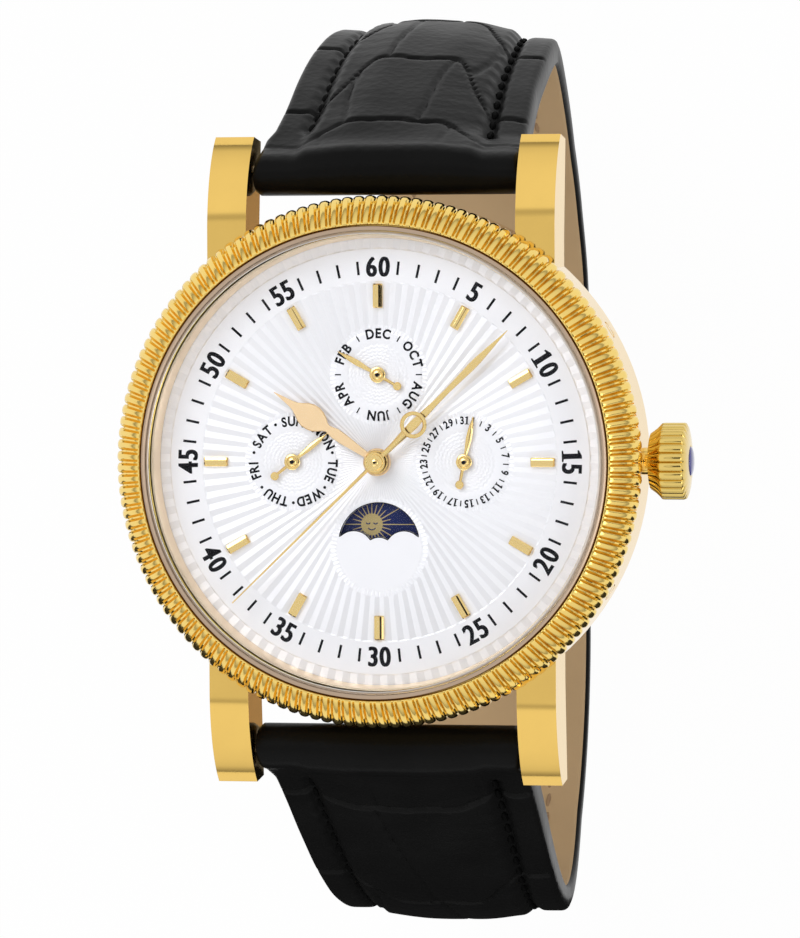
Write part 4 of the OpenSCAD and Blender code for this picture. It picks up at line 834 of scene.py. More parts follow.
def arc_words(shape, text, centre, r, angle, height, squeeze, bold, gap, inward=False, broad=0.0):
    """Letters along an arc: angle is clockwise from the top, inward turns their feet outwards, and
    broad widens their upright strokes."""
    cut = [glyph(c, bold) for c in text]
    x = -(sum(w * squeeze for _, _, w in cut) + gap * (len(text) - 1)) / 2
    for verts, faces, width in cut:
        width *= squeeze
        turn = (x + width / 2) * height / r * 180 / pi
        clockwise = angle - turn if inward else angle + turn
        a = radians(clockwise)
        place = at(centre[0] + r * sin(a), centre[1] + r * cos(a), DIAL_Z, clockwise + (180 if inward else 0))
        for shift, lift in ((-broad, 0.0), (broad, 0.001)) if broad else ((0.0, 0.0),):
            shape.add([
                ((vx * squeeze - width / 2 + shift) * height, vy * height, INK_TOP + lift if vz > 0 else INK_SINK)
                for vx, vy, vz in verts
            ], faces, 0, place)
        x += width + gap


def tick(shape, centre, reach, width, clockwise):
    w, (r0, r1) = width / 2, reach
    outline = [(-w, r0), (w, r0), (w, r1), (-w, r1)]
    shape.bar(outline, INK_SINK, INK_TOP, 0, at(*centre, DIAL_Z, clockwise))


class WATCH_OT_prints(Operator):
    """Minute figures, month and day words, date figures and the window's outline"""

    bl_idname = "watch.prints"
    bl_label = "Printed figures"

    def execute(self, context):
        dial = context.scene.watch_dial
        tall, small = dial.figure_height / MM, dial.word_height / MM
        minutes = Shape()
        for minute in range(60):
            if minute % 5:
                tick(minutes, (0, 0), MINUTE_MARKS, 0.2, minute * 6)
        for figure in range(5, 65, 5):
            inward = 20 <= figure <= 40
            arc_words(minutes, str(figure), (0, 0), MINUTES_R, figure * 6, tall, 0.8, 0.016, 0.14, inward, 0.032)
        piece("minute_figures", minutes, ["ink"], CASE)

        words = Shape()
        for i, word in enumerate(("DEC", "OCT", "AUG", "JUN", "APR", "FEB")):
            arc_words(words, word, MONTH_AT, MONTHS_R, 60 * i, small, 0.9, 0.034, 0.17)
            tick(words, MONTH_AT, MONTH_MARKS, 0.1, 60 * i + 30)
        for i, word in enumerate(("SUN", "MON", "TUE", "WED", "THU", "FRI", "SAT")):
            arc_words(words, word, DAY_AT, DAYS_R, 360 / 7 * i, small, 0.86, 0.034, 0.14)
            dot = radians(360 / 7 * (i + 0.5))
            spot = at(DAY_AT[0] + 3.3 * sin(dot), DAY_AT[1] + 3.3 * cos(dot), DIAL_Z)
            words.bar(circle(0.12, 14), INK_SINK, INK_TOP, 0, spot)
        for day in range(1, 32):
            angle = 360 / 31 * day
            if day % 2:
                arc_words(words, str(day), DATE_AT, DATES_R, angle, 0.64, 0.84, 0.032, 0.12)
            else:
                tick(words, DATE_AT, DATE_MARKS, 0.09, angle)
        piece("calendar_words", words, ["ink"], CASE)

        outline = window_outline()
        count, band = len(outline), []
        for i, (x, y) in enumerate(outline):
            (x0, y0), (x1, y1) = outline[i - 1], outline[(i + 1) % count]
            along = Vector((x1 - x0, y1 - y0)).normalized()
            band.append((x, y, x + along.y * 0.07, y - along.x * 0.07))
        rows = [
            [(x, y, 7.2), (x, y, DIAL_Z + 0.012), (u, v, DIAL_Z + 0.012), (u, v, DIAL_Z - 0.01)]
            for x, y, u, v in band
        ]
        piece("window_outline", Shape().rows(rows, loop=True), ["ink"], CASE)
        return {"FINISHED"}


class WATCH_OT_markers(Operator):
    """Applied hour markers"""

    bl_idname = "watch.markers"
    bl_label = "Hour markers"

    def execute(self, context):
        shape = Shape()
        w, h, r0, r1 = 0.37, 0.36, 12.35, 14.3
        angles = [radians(a) for a in range(-28, 29, 7)]
        for i in range(12):
            rows = []
            for k in range(17):
                place = -cos(pi * k / 16) * 0.3 + (k / 8 - 1) * 0.7
                y = (r0 + r1) / 2 + place * (r1 - r0) / 2
                fall = max(0.0, (abs(y - (r0 + r1) / 2) - (r1 - r0) / 2 + 0.1) / 0.1)
                u = w * (0.92 + 0.08 * sqrt(1 - min(1.0, fall) ** 2))
                top = h - 0.1 * fall * fall
                arc = [(u * sin(a) / sin(angles[-1]), y, top - 0.79 * (1 - cos(a))) for a in angles]
                rows.append([(-u, y, -0.05), *arc, (u, y, -0.05)])
            shape.rows(rows, caps=True, place=at(0, 0, DIAL_Z, 30 * i))
        piece("hour_batons", shape, ["baton_gold"], CASE, ["hour_markers"], sharp=28)
        return {"FINISHED"}


# Hands


def blade(shape, stations, z, thick, place, flat=0.25):
    """Hand drawn along +Y: (distance, half width) stations under a ridge, or under a flat with bevels."""
    rows = []
    for y, w in stations:
        w = max(w, 0.012)
        low, high = z + thick * 0.4, z + thick
        rows.append([(-w, y, z), (-w, y, low), (-w * flat, y, high), (w * flat, y, high), (w, y, low), (w, y, z)])
    shape.rows(rows, caps=True, place=place)


def hub(shape, r, z, thick, place, hole):
    edge = min(0.07, r * 0.2)
    profile = [(hole, z), (r, z), (r, z + thick - edge), (r - edge, z + thick), (hole, z + thick)]
    shape.turned(profile, 64, place)


class WATCH_OT_hands(Operator):
    """Hour, minute, seconds, month, day and date hands"""

    bl_idname = "watch.hands"
    bl_label = "Hands"

    def execute(self, context):
        hour = Shape()
        place = at(0, 0, 0, HOUR_ANGLE)
        blade(hour, [
            (0.3, 0.22), (1.2, 0.26), (2.4, 0.36), (3.4, 0.45), (4.1, 0.45), (4.5, 0.36), (4.85, 0.29), (5.1, 0.4),
            (5.4, 0.66), (5.8, 0.9), (6.3, 1.03), (6.8, 1.02), (7.25, 0.86), (7.65, 0.6), (8.0, 0.4), (8.4, 0.28),
            (8.9, 0.2), (9.5, 0.11), (10.1, 0.02),
        ], 8.06, 0.15, place, 0.9)
        hub(hour, 1.12, 8.05, 0.2, place, 0.5)
        piece("hour_hand_leaf", hour, ["rose_gold"], "hour_works", ["hour_hand"])

        minute = Shape()
        place = at(0, 0, 0, MINUTE_ANGLE)
        blade(minute, [
            (0.3, 0.2), (2.0, 0.24), (3.2, 0.33), (4.3, 0.38), (5.4, 0.31), (6.8, 0.24), (8.2, 0.22), (9.6, 0.27),
            (10.8, 0.32), (11.6, 0.31), (12.8, 0.22), (14.0, 0.11), (15.0, 0.02),
        ], 8.52, 0.15, place, 0.8)
        hub(minute, 0.96, 8.5, 0.2, place, 0.28)
        piece("minute_hand_leaf", minute, ["hand_gold"], "minute_works", ["minute_hand"])

        seconds = Shape()
        place = at(0, 0, 0, SECONDS_ANGLE)
        blade(seconds, [(-3.35, 0.2), (-0.6, 0.18), (0.8, 0.14), (8.0, 0.1), (16.3, 0.05)], 9.0, 0.13, place, 0.5)
        ring = [(0.76, 9.0), (1.08, 9.0), (1.08, 9.08), (1.0, 9.15), (0.84, 9.15), (0.76, 9.08)]
        seconds.turned(ring, 72, place @ Matrix.Translation((0, -4.35, 0)))
        seconds.turned([
            (0.0, 8.98), (0.83, 8.98), (0.83, 9.2), (0.78, 9.25), (0.68, 9.25), (0.62, 9.2), (0.3, 9.18),
            (0.28, 9.26), (0.22, 9.3), (0.0, 9.3),
        ], 64, place)
        seconds.turned([(0.0, 9.29), (0.1, 9.29), (0.1, 9.34), (0.0, 9.35)], 24, place, 1)
        piece("seconds_hand_needle", seconds, ["hand_gold", "ink"], "seconds_works", ["seconds_hand"])

        for name, centre, angle in CALENDAR_HANDS:
            shape, place = Shape(), at(*centre, 0, angle)
            blade(shape, [
                (-1.6, 0.11), (-0.5, 0.13), (0.4, 0.12), (1.1, 0.17), (1.9, 0.24), (2.6, 0.21), (3.2, 0.12),
                (3.75, 0.02),
            ], 7.7, 0.13, place, 0.3)
            tail = place @ Matrix.Translation((0, -1.85, 0))
            shape.turned([(0.0, 7.7), (0.34, 7.7), (0.34, 7.8), (0.3, 7.84), (0.0, 7.84)], 32, tail)
            shape.turned([
                (0.0, 7.68), (0.64, 7.68), (0.64, 7.84), (0.58, 7.88), (0.44, 7.88), (0.4, 7.84), (0.34, 7.84),
                (0.32, 7.92), (0.26, 7.96), (0.0, 7.96),
            ], 48, place)
            shape.turned([(0.0, 7.95), (0.17, 7.95), (0.17, 7.99), (0.0, 8.0)], 24, place, 1)
            piece(f"{name}_hand_leaf", shape, ["hand_gold", "ink"], f"{name}_works", [f"{name}_hand"])
        return {"FINISHED"}


class WATCH_OT_night_disc(Operator):
    """Day and night disc with its sun and, on the other side, its moon"""

    bl_idname = "watch.night_disc"
    bl_label = "Day and night disc"

    def execute(self, context):
        shape = Shape()
        base = at(*DISC_AT)
        top = DISC_Z
        shape.turned([(0.0, 6.55), (3.75, 6.55), (3.75, top - 0.02), (3.73, top), (0.0, top)], 128, base)
        shape.turned([(0.0, 6.0), (0.27, 6.0), (0.27, 6.56), (0.0, 6.56)], 24, base)
        sun = (-0.69, 1.86)
        face = base @ Matrix.Translation((*sun, 0))
        shape.turned([(0.0, top), (0.88, top), (0.88, top + 0.015), (0.0, top + 0.025)], 40, face, 1)
        for k in range(24):
            a = radians(15 * k)
            long = (4.6, 1.6)[k % 2]
            while hypot(sun[0] - sin(a) * long, sun[1] + cos(a) * long) > 3.6:
                long -= 0.05
            ray = [(-0.045, 0.86), (0.045, 0.86), (0.025, long), (-0.025, long)]
            shape.bar(ray, top - 0.01, top + 0.012, 1, face @ Matrix.Rotation(a, 4, "Z"))
        # plain smiling sun: two closed eyes and a mouth
        lines = ((-0.3, 0.2, 0.17, 200, 340), (0.3, 0.2, 0.17, 200, 340), (0, -0.08, 0.36, 215, 325))
        for cx, cy, r, a0, a1 in lines:
            arc = [radians(a0 + (a1 - a0) * i / 8) for i in range(9)]
            outline = [(cx + (r + 0.045) * cos(a), cy + (r + 0.045) * sin(a)) for a in arc]
            outline += [(cx + (r - 0.045) * cos(a), cy + (r - 0.045) * sin(a)) for a in arc[::-1]]
            shape.bar(outline, top, top + 0.035, 0, face)
        moon = base @ Matrix.Translation((0.4, -1.9, 0))
        outer = [(0.85 * cos(radians(a)), 0.85 * sin(radians(a))) for a in range(50, 311, 10)]
        inner = [(0.28 + 0.66 * cos(radians(a)), 0.66 * sin(radians(a))) for a in range(300, 59, -10)]
        shape.bar(outer + inner, top - 0.01, top + 0.015, 1, moon)
        stars = ((-1.6, -1.2, 0.2), (-1.1, -2.5, 0.15), (1.8, -2.2, 0.18), (2.3, -1.0, 0.14), (-2.5, -1.6, 0.13))
        for x, y, r in stars:
            reach = [(r, r * 0.42)[i % 2] for i in range(10)]
            star = [(reach[i] * sin(pi * i / 5), reach[i] * cos(pi * i / 5)) for i in range(10)]
            shape.bar(star, top - 0.01, top + 0.015, 1, base @ Matrix.Translation((x, y, 0)))
        piece("night_disc_printed", shape, ["night", "star"], "day_night_disc", ["day_night_disc"])
        return {"FINISHED"}


# Strap


# Line of the strap in Y and Z: the spring bar, how far the halves on the 12 and 6 o'clock sides reach and at
# what height, and the stretch under the wrist with the buckle and the end of the tail
BAR = (23.6, 2.7)
LOOP_TOP = 35.5
LOOP_LOW = 39.8
WIDE_Z = -30.0
INNER_Z = -49.0
TAIL_Z = -51.6
FLAT_Y = 17.0
BUCKLE_Y = -1.9
TAIL_END = 15.5

# Stitches start this far from the lugs; one stitch is its places along it and how thick the thread is there
STITCH_START = 5.6
STITCH = ((0.1, 0.35), (0.2, 0.8), (0.35, 1), (0.5, 1.05), (0.65, 1), (0.8, 0.8), (0.9, 0.35))

# The strap is cut every STEP along its line: half thickness at the lugs and where it ends to thin out, the
# seam's way in from the edge with the depth and width of its groove, how far the margins lie under the
# padding, and the radius and fall of the turned edges outside and inside
STEP = 0.3
LUG_HALF = 2.1
THIN_FROM = 62
SEAM_IN = 2.9
SEAM_GROOVE = 0.42
MARGIN_SINK = 0.35
EDGE_OUTSIDE = (0.6, 0.5)
EDGE_INSIDE = (0.4, 0.3)

# Where the padding starts to rise and to fall away along the strap, and over what length
PAD_RISE = (1.5, 5)
PAD_FALL = (38, 26)

# Pointed end of the tail: its length, half its width and what the half grows by
POINT_LONG = 8
POINT_HALF = 3.6
POINT_SPREAD = 5.4


def turned_edge(d, edge):
    """How much lower a rounded edge of (radius, fall) lies at a distance from it."""
    return edge[1] * (1 - sqrt(max(0.0, 1 - max(0.0, 1 - d / edge[0]) ** 2)))


def bezier(p, t):
    u = 1 - t
    return tuple(u**3 * a + 3 * u * u * t * b + 3 * u * t * t * c + t**3 * d for a, b, c, d in zip(*p))


TOP_LOOP = [
    [BAR, (BAR[0] + 1.4, BAR[1] - 5.2), (LOOP_TOP - 1.1, WIDE_Z + 13), (LOOP_TOP, WIDE_Z + 2)],
    [(LOOP_TOP, WIDE_Z + 2), (LOOP_TOP + 0.5, WIDE_Z - 3), (FLAT_Y + 8, INNER_Z), (FLAT_Y - 2, INNER_Z)],
]
LOW_LOOP = [
    [BAR, (BAR[0] + 0.4, BAR[1] - 6.7), (LOOP_LOW - 1.2, WIDE_Z + 12), (LOOP_LOW, WIDE_Z)],
    [(LOOP_LOW, WIDE_Z), (LOOP_LOW + 1.1, WIDE_Z - 11), (FLAT_Y + 11, INNER_Z), (FLAT_Y, INNER_Z)],
]


def loop_line(curves):
    """Middle line of one strap half from the spring bar to the flat stretch under the wrist."""
    return [bezier(curves[0], i / 60) for i in range(60)] + [bezier(curves[1], i / 60) for i in range(61)]


def evenly(points):
    """The line walked in even steps."""
    out, left = [points[0]], STEP
    for (y0, z0), (y1, z1) in zip(points, points[1:]):
        span = hypot(y1 - y0, z1 - z0)
        while span >= left:
            y0, z0 = y0 + (y1 - y0) * left / span, z0 + (z1 - z0) * left / span
            out.append((y0, z0))
            span, left = hypot(y1 - y0, z1 - z0), STEP
        left -= span
    return out


def smoothed(points, times):
    for _ in range(times):
        runs = zip(points, points[1:], points[2:])
        middle = [tuple((p + 2 * q + r) / 4 for p, q, r in zip(*run)) for run in runs]
        points = [points[0]] + middle + [points[-1]]
    return points


def outwards(points):
    """Unit direction to the outside of the loop at each point of the line."""
    out = []
    for (y0, z0), (y1, z1) in zip(points[:1] + points[:-1], points[1:] + points[-1:]):
        n = hypot(y1 - y0, z1 - z0)
        out.append((-(z1 - z0) / n, (y1 - y0) / n))
    return out


def ease(t):
    t = min(1.0, max(0.0, t))
    return t * t * (3 - 2 * t)


def top_width(z):
    """The half with the buckle steps in behind its end at the lugs and narrows on to the buckle."""
    step_in = 0.4 * ease((-z - 0.4) / 2.2) * (1 - ease((-z - 4) / 20))
    return (10.8 if z > -2 else 9.0 + 1.8 * max(0.0, (z + 43) / 41)) - step_in


def tail_width(z):
    """The tail keeps its width longer."""
    step_in = 0.15 * ease((-z - 0.4) / 2.2)
    return max(9.0, 10.8 - step_in - (1.65 * max(0.0, (-z - 2) / 41) ** 1.6 if z < -2 else 0.0))


# Creases of the embossed scales on each half: distance from the lug at the edges, rise of the arch
# towards the middle, and the long creases of the row beyond as (place at its start, place at its end)
TOP_CREASES = [
    (0.6, 0.0, [(-6.0, -6.0), (4.2, 4.2)]), (1.8, 4.0, [(-4.7, -4.7), (1.3, 3.1)]),
    (9.4, 9.8, [(4.8, 6.4), (-2.5, -2.0)]), (24.0, 8.0, [(-4.2, -4.8), (1.2, 2.4)]),
    (37.5, 6.0, [(-1.6, -0.8), (4.8, 4.2)]), (49.5, 5.0, [(-4.0, -3.4), (2.2, 1.4)]),
    (60.5, 4.0, [(-0.8, -1.4), (4.0, 4.6)]), (70.5, 3.0, [(-3.6, -3.0), (1.8, 2.4)]), (80.0, 2.0, []),
]
TAIL_CREASES = [
    (0.6, 0.0, [(-2.7, -2.7), (6.4, 6.7)]), (8.0, 1.3, [(-2.8, -0.4)]), (23.8, 4.6, [(0.0, 1.8), (-5.6, -6.2)]),
    (38.0, 4.5, [(-3.2, -2.4), (3.8, 4.4)]), (51.0, 4.0, [(0.8, 0.2), (-4.8, -5.2)]),
    (62.5, 3.5, [(-2.8, -3.2), (3.2, 3.8)]), (73.0, 3.0, [(0.6, 1.2), (-4.4, -4.0)]),
    (82.5, 2.5, [(-2.2, -2.6), (3.0, 3.4)]), (91.5, 2.0, [(0.4, 0.8)]), (99.0, 1.0, []),
]


def crease(s, x, w, rows, depth):
    """Depth of the scales' creases at a distance along the strap and a place across it."""
    arch_shape = ease((1 - abs(x) / (w - SEAM_IN)) / 0.55)

    def line(k):
        start, arch, _ = rows[k]
        wobble = 0.16 * sin(1.3 * x + 2.1 * k) + 0.05 * sin(4.1 * x + k)
        return start + arch * arch_shape + wobble * (k > 0)

    low = 0.0
    for k, (start, _, long_creases) in enumerate(rows):
        if abs(s - start) > 30:
            continue
        here = line(k)
        if k:
            low = max(low, exp(-(((s - here) / 0.24) ** 2)))
        if k + 1 < len(rows):
            there = line(k + 1)
            if here < s < there:
                share = (s - here) / (there - here)
                for x0, x1 in long_creases:
                    bend = x0 + (x1 - x0) * share + 0.18 * sin(share * 5 + x0)
                    low = max(low, 0.6 * exp(-(((x - bend) / 0.17) ** 2)) * ease(min(share, 1 - share) * 12 + 0.3))
    return low * depth


class StrapHalf:
    """One half of the strap: its line, its section at each step, and where its stitches lie."""

    def __init__(self, settings, line, side, half_width, end_half, drop, creases):
        self.line, self.side, self.half_width = line, side, half_width
        self.out = outwards(line)
        self.end_half, self.drop, self.creases = end_half, drop, creases
        self.depth, self.pad = settings.scale_depth / MM, settings.padding / MM
        self.pitch = settings.stitch / MM
        self.pointed = False
        self.twist = self.shift = 0.0

    def half(self, s):
        """Half thickness, thick at the lug."""
        return LUG_HALF + (self.end_half - LUG_HALF) * min(1.0, s / THIN_FROM)

    def width(self, i):
        w = self.half_width(self.line[i][1])
        left = (len(self.line) - 1 - i) * STEP
        if self.pointed and left <= POINT_LONG:
            w = min(w, POINT_HALF + POINT_SPREAD * sqrt(max(0.0, 1 - (1 - left / POINT_LONG) ** 2)))
        return w

    def swell(self, s):
        """How far the padding stands over the thin margins, from the lugs to the buckle."""
        return ease((s - PAD_RISE[0]) / PAD_RISE[1]) * (1 - ease((s - PAD_FALL[0]) / PAD_FALL[1]))

    def level(self, i, x, scales=True):
        """Height of the outside over the middle line."""
        s, w = i * STEP, self.width(i)
        d, full = w - abs(x), self.swell(s)
        seam = SEAM_IN + 0.05 * sin(2 * pi * s / self.pitch)
        rise = 0.5 * ease((d - seam) / 1.2) + 0.5 * ease((d - seam) / 5)
        top = self.half(s) - self.drop * (1 - rise)
        top += full * (rise * self.pad * (1 - (x / w) ** 2) - MARGIN_SINK * (1 - rise))
        top -= SEAM_GROOVE * ease((s - 4.5) / 1.5) * exp(-(((d - seam + 0.1) / SEAM_GROOVE) ** 2))
        top -= turned_edge(d, EDGE_OUTSIDE)
        if scales:
            top -= crease(s, x, w, self.creases, self.depth) * min(1.0, d / 0.5) * (0.35 + 0.65 * full)
            top += 0.03 * full * sin(0.9 * x + 0.35 * s) * sin(0.5 * s - 0.6 * x)
        return top

    def under(self, i, x):
        return turned_edge(self.width(i) - abs(x), EDGE_INSIDE) - self.half(i * STEP)

    def point(self, s, x, t, y, z, ny, nz):
        """A place on the section: x across, t out from the line at y, z. The closed strap leans a little to
        one side between its two ends."""
        t += self.twist * x * self.swell(s)
        aside = self.shift * ease((s - 6) / 14) * (1 - ease((s - len(self.line) * STEP + 24) / 12))
        return (x + aside, self.side * (y + ny * t), z + nz * t)

    def shape(self):
        across, below = 92, 32
        fractions = [-cos(pi * j / across) * 0.35 + (2 * j / across - 1) * 0.65 for j in range(across + 1)]
        fractions_below = [cos(pi * j / below) * 0.6 + (1 - 2 * j / below) * 0.4 for j in range(below + 1)]
        rows = []
        for i, (here, out) in enumerate(zip(self.line, self.out)):
            w = self.width(i)
            section = [(f * w, self.level(i, f * w)) for f in fractions]
            section += [(f * w, self.under(i, f * w)) for f in fractions_below]
            rows.append([self.point(i * STEP, x, t, *here, *out) for x, t in section])
        last = len(rows) - 1
        first_end, last_end = self.round_end(rows[0], 0, -1), self.round_end(rows[-1], last, 1)
        shape = Shape().rows(first_end[::-1] + rows + last_end, caps=True)
        m, ends = len(rows[0]), len(first_end)
        shape.marks = [
            1 if across + 2 <= j < m - 2 and ends < i < ends + last else 0
            for i in range(last + 2 * ends) for j in range(m)
        ] + [0, 0]
        return shape

    def round_end(self, row, i, sign):
        """Rows that round off an end of the strap."""
        (y, z), (ny, nz) = self.line[i], self.out[i]
        out = []
        for a in (18, 36, 54, 70, 84):
            squash, push = cos(radians(a)), sin(radians(a)) * self.half(i * STEP) * sign
            ring = []
            for px, py, pz in row:
                t = ((self.side * py - y) * ny + (pz - z) * nz) * squash
                ring.append((px, self.side * (y + ny * t + nz * push), z + nz * t - ny * push))
            out.append(ring)
        return out

    def stitches(self, thread, end, inner=False):
        """Short raised stitches along both margins."""
        shape = Shape()
        start, r = STITCH_START, thread / MM / 2
        angles = [2 * pi * q / 7 for q in range(7)]
        for side in (-1, 1):
            for k in range(int((end - start) / self.pitch)):
                rows = []
                for part, swell in STITCH:
                    s = start + k * self.pitch + self.pitch * part
                    i = min(len(self.line) - 1, int(round(s / STEP)))
                    share = s / STEP - i
                    x = side * (self.width(i) - SEAM_IN - 0.05 + (part - 0.5) * 0.12)
                    lift = 0.1 - 0.3 * abs(part - 0.5)
                    t = self.under(i, x) + 0.1 - lift if inner else self.level(i, x, False) + lift
                    (y, z), (ny, nz) = self.line[i], self.out[i]
                    y, z = y + nz * share * STEP, z - ny * share * STEP
                    rows.append([self.thread_point(s, x, t, r * swell, a, y, z, ny, nz) for a in angles])
                shape.rows(rows, caps=True)
        return shape

    def thread_point(self, s, x, t, r, a, y, z, ny, nz):
        """A place on the thread whose middle is at x, t: it leans as the strap does there."""
        px, py, pz = self.point(s, x, t + r * sin(a), y, z, ny, nz)
        return (px + r * cos(a), py, pz)


class WATCH_OT_strap(Operator):
    """Padded leather strap with its embossed scales, lining and stitches"""

    bl_idname = "watch.strap"
    bl_label = "Strap"

    def execute(self, context):
        settings = context.scene.watch_strap
        line = evenly(loop_line(TOP_LOOP) + [(BUCKLE_Y, INNER_Z)])
        top = StrapHalf(settings, line, 1, top_width, 1.3, 0.7, TOP_CREASES)
        top.twist, top.shift = -0.055, -0.4

        ramp = [(-BUCKLE_Y + 14.6, INNER_Z), (-BUCKLE_Y + 4.6, TAIL_Z), (-TAIL_END, TAIL_Z)]
        line = evenly(loop_line(LOW_LOOP) + ramp)
        flat_from = next(i for i, (y, z) in enumerate(line) if y < 16.8 and z < -40)
        line = line[:flat_from] + smoothed(line[flat_from:], 12)
        tail = StrapHalf(settings, line, -1, tail_width, 1.1, 0.42, TAIL_CREASES)
        tail.pointed = True

        halves = (("buckle_half", top, "strap_top", 8), ("tail_half", tail, "strap_bottom", 12))
        for name, half, node, _ in halves:
            piece(f"strap_{name}", half.shape(), ["leather", "lining"], CASE, [node], sharp=60)
        for name, half, _, short in halves:
            end = len(half.line) * STEP - short
            outer = half.stitches(settings.thread, end)
            inner = half.stitches(settings.thread * 0.8, min(end, 60), True)
            piece(f"stitches_{name}", outer, ["thread"], CASE)
            piece(f"stitches_{name}_inside", inner, ["tan_thread"], CASE)
        for kind in ("fixed", "free"):
            dressed(f"{kind}_keeper", f"keeper_{kind}_leather", "leather", 0.0004, 3)
        return {"FINISHED"}


class WATCH_OT_buckle(Operator):
    """Polished buckle with its tongue"""

    bl_idname = "watch.buckle"
    bl_label = "Buckle"

    def execute(self, context):
        edge = context.scene.watch_case.edge
        dressed("buckle_frame", "buckle_polished", "gold", edge * 1.6, 3)
        dressed("buckle_tang", "buckle_tongue", "gold", edge, 2)
        paint("steel", "buckle_bar")
        return {"FINISHED"}


class WATCH_OT_works(Operator):
    """Finishes of the sealed movement"""

    bl_idname = "watch.works"
    bl_label = "Movement"

    def execute(self, context):
        paint(
            "plate", "calendar_plate", "movement_ring", "mainplate", "barrel_bridge", "train_bridge",
            "balance_cock",
        )
        paint(
            "brass", "month_wheel", "day_wheel", "date_wheel", "mainspring_barrel", "centre_wheel", "third_wheel",
            "fourth_wheel", "minute_wheel", "hour_wheel", "balance_wheel", "rotor",
        )
        paint(
            "steel", "escape_wheel", "pallet_fork", "ratchet_wheel", "crown_wheel", "click", "winding_pinion",
            "sliding_pinion", "winding_stem", "cannon_pinion",
        )
        paint("blued", "hairspring", "rotor_post", "movement_screws")
        return {"FINISHED"}


# Stage


# Grey that reflections see in the surroundings, from straight down at 0 to straight up at 1
RAMP_ENDS = (0.3, 0.8)
RAMP = ((0.15, 0.8), (0.3, 0.9), (0.55, 0.97), (0.93, 1.0), (0.942, 0.55), (0.95, 0.55), (0.965, 0.82))
AMBIENT = 0.5

# Lamps: place, what they face, size, power, and whether metal shows them
LAMPS = (
    ("key", (-0.35, 0.45, 0.75), (0, 0, 0), (0.5, 0.5), 3.2, False),
    ("fill", (0.6, -0.1, 0.55), (0, 0, 0), (0.5, 0.4), 1.3, True),
    ("low", (-0.1, -0.7, 0.4), (0, 0, -0.02), (0.6, 0.3), 1.2, False),
)

# Dark cards that only reflections see: place, what they face, size
CARDS = (
    ("dark_card_right", (0.5, 0.0, 0.38), (0, 0, 0), (0.05, 0.8)),
    ("dark_card_floor", (0.0, -0.115, -0.0535), (0.0, -0.115, 1.0), (0.4, 0.145)),
    ("dark_card_camera", (0.087, 0.016, 0.47), (0, 0, 0), (0.16, 0.16)),
)
CARD_GREY = (0.02, 0.02, 0.02)

# Camera: turn to the crown side, turn up and roll in degrees, and its way aside in millimetres
YAW, PITCH, ROLL = 10.38, 1.95, 0.23
ASIDE = (1.69, -0.571)


def turn_to(obj, place, aim, axis):
    obj.location = place
    obj.rotation_euler = (Vector(aim) - Vector(place)).to_track_quat(axis, "Y").to_euler()


def sheet(name, w, h, z, finish):
    """Rectangle of the stage, w and h each way from its middle."""
    mesh = bpy.data.meshes.new(name)
    mesh.from_pydata([(-w, -h, z), (w, -h, z), (w, h, z), (-w, h, z)], [], [(0, 1, 2, 3)])
    mesh.materials.append(finish)
    obj = new_object(name, mesh)
    return obj


def surroundings(scene):
    """White for the camera and through glass, graded for reflections and even for all other light."""
    world = scene.world or bpy.data.worlds.new("surroundings")
    scene.world = world
    world.use_nodes = True
    tree = world.node_tree
    split = tree.nodes.new("ShaderNodeSeparateXYZ")
    connect(tree, tree.nodes.new("ShaderNodeTexCoord").outputs["Generated"], split.inputs[0])
    ramp = tree.nodes.new("ShaderNodeValToRGB")
    connect(tree, split.outputs["Z"], ramp.inputs[0])
    steps = ramp.color_ramp.elements
    for place, grey in RAMP:
        steps.new(place).color = (grey, grey, grey, 1)
    for step, grey in zip((steps[0], steps[-1]), RAMP_ENDS):
        step.color = (grey, grey, grey, 1)
    light = mixed_colour(tree, seen_by(tree, "Is Glossy Ray"), (AMBIENT,) * 3, ramp.outputs["Color"])
    white = seen_by(tree, "Is Camera Ray", "Is Transmission Ray")
    connect(tree, mixed_colour(tree, white, light, (1.0, 1.0, 1.0)), tree.nodes["Background"].inputs["Color"])


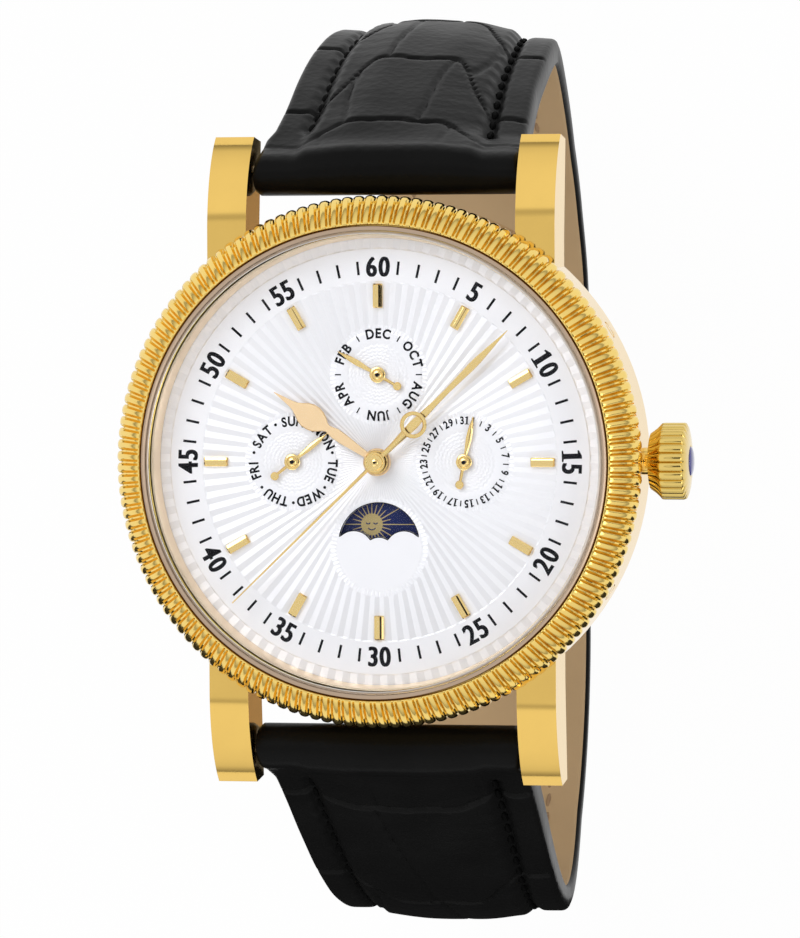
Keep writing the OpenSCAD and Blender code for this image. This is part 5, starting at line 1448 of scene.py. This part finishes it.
class WATCH_OT_stage(Operator):
    """White floor and surroundings, soft lamps and the camera"""

    bl_idname = "watch.stage"
    bl_label = "Stage"

    def execute(self, context):
        scene, stage = context.scene, context.scene.watch_stage
        scene.view_settings.view_transform = "Standard"
        surroundings(scene)

        finish, tree, bsdf = shader("white_floor", stage.floor, Roughness=0.9)
        seen = seen_by(tree, "Is Camera Ray", "Is Glossy Ray", "Is Transmission Ray")
        glow = tree.nodes.new("ShaderNodeEmission")
        mixed_surface(tree, math_node(tree, "MULTIPLY", seen, 0.97), bsdf, glow)
        sheet("floor", 3, 3, (FLOOR_Z - 0.02) * MM, finish)

        for name, place, aim, (wide, high), power, mirrored in LAMPS:
            light = bpy.data.lights.new(name, "AREA")
            light.shape, light.size, light.size_y, light.energy = "RECTANGLE", wide, high, power
            lamp = new_object(name, light)
            turn_to(lamp, place, aim, "-Z")
            lamp.visible_glossy = mirrored
        for name, place, aim, (wide, high) in CARDS:
            finish, _, _ = shader(name, CARD_GREY, Roughness=1.0)
            card = sheet(name, wide / 2, high / 2, 0, finish)
            turn_to(card, place, aim, "Z")
            card.visible_camera = card.visible_diffuse = card.visible_shadow = False

        camera = new_object("camera", bpy.data.cameras.new("camera"))
        camera.data.sensor_width = 36
        camera.data.lens = stage.lens
        camera.data.clip_start, camera.data.clip_end = 0.01, 20
        yaw, pitch, roll = radians(YAW), radians(PITCH), radians(ROLL)
        ry = Matrix(((cos(yaw), 0, -sin(yaw)), (0, 1, 0), (sin(yaw), 0, cos(yaw))))
        rx = Matrix(((1, 0, 0), (0, cos(pitch), -sin(pitch)), (0, sin(pitch), cos(pitch))))
        rz = Matrix(((cos(roll), -sin(roll), 0), (sin(roll), cos(roll), 0), (0, 0, 1)))
        turn = (rz @ rx @ ry).transposed()
        place = turn @ Vector((ASIDE[0] * MM, ASIDE[1] * MM, stage.distance)) + Vector((0, 0, DIAL_Z * MM))
        camera.matrix_world = Matrix.Translation(place) @ turn.to_4x4()
        scene.camera = camera
        return {"FINISHED"}


class WATCH_PT_looks(Panel):
    """Sizes, colours and the pieces of the watch"""

    bl_label = "Calendar Wristwatch"
    bl_idname = "WATCH_PT_looks"
    bl_space_type = "VIEW_3D"
    bl_region_type = "UI"
    bl_category = "Watch"

    def draw(self, context):
        for name, settings in SETTINGS:
            box = self.layout.box()
            box.label(text=name.replace("_", " ").title())
            for key in settings.__annotations__:
                box.prop(getattr(context.scene, name), key)
        for operator in BUILD_ORDER:
            self.layout.operator(operator.bl_idname)


SETTINGS = [
    ("watch_case", WatchCaseSettings), ("watch_dial", WatchDialSettings), ("watch_strap", WatchStrapSettings),
    ("watch_stage", WatchStageSettings),
]
BUILD_ORDER = [
    WATCH_OT_stage, WATCH_OT_case, WATCH_OT_bezel, WATCH_OT_crystal, WATCH_OT_crown, WATCH_OT_dial, WATCH_OT_prints,
    WATCH_OT_markers, WATCH_OT_hands, WATCH_OT_night_disc, WATCH_OT_strap, WATCH_OT_buckle, WATCH_OT_works,
]


def register():
    for name, settings in SETTINGS:
        bpy.utils.register_class(settings)
        setattr(bpy.types.Scene, name, PointerProperty(type=settings))
    for cls in BUILD_ORDER + [WATCH_PT_looks]:
        bpy.utils.register_class(cls)


def unregister():
    for cls in reversed(BUILD_ORDER + [WATCH_PT_looks]):
        bpy.utils.unregister_class(cls)
    for name, settings in reversed(SETTINGS):
        delattr(bpy.types.Scene, name)
        bpy.utils.unregister_class(settings)


def main():
    register()
    for operator in BUILD_ORDER:
        group, name = operator.bl_idname.split(".")
        getattr(getattr(bpy.ops, group), name)()


if __name__ == "__main__":
    main()
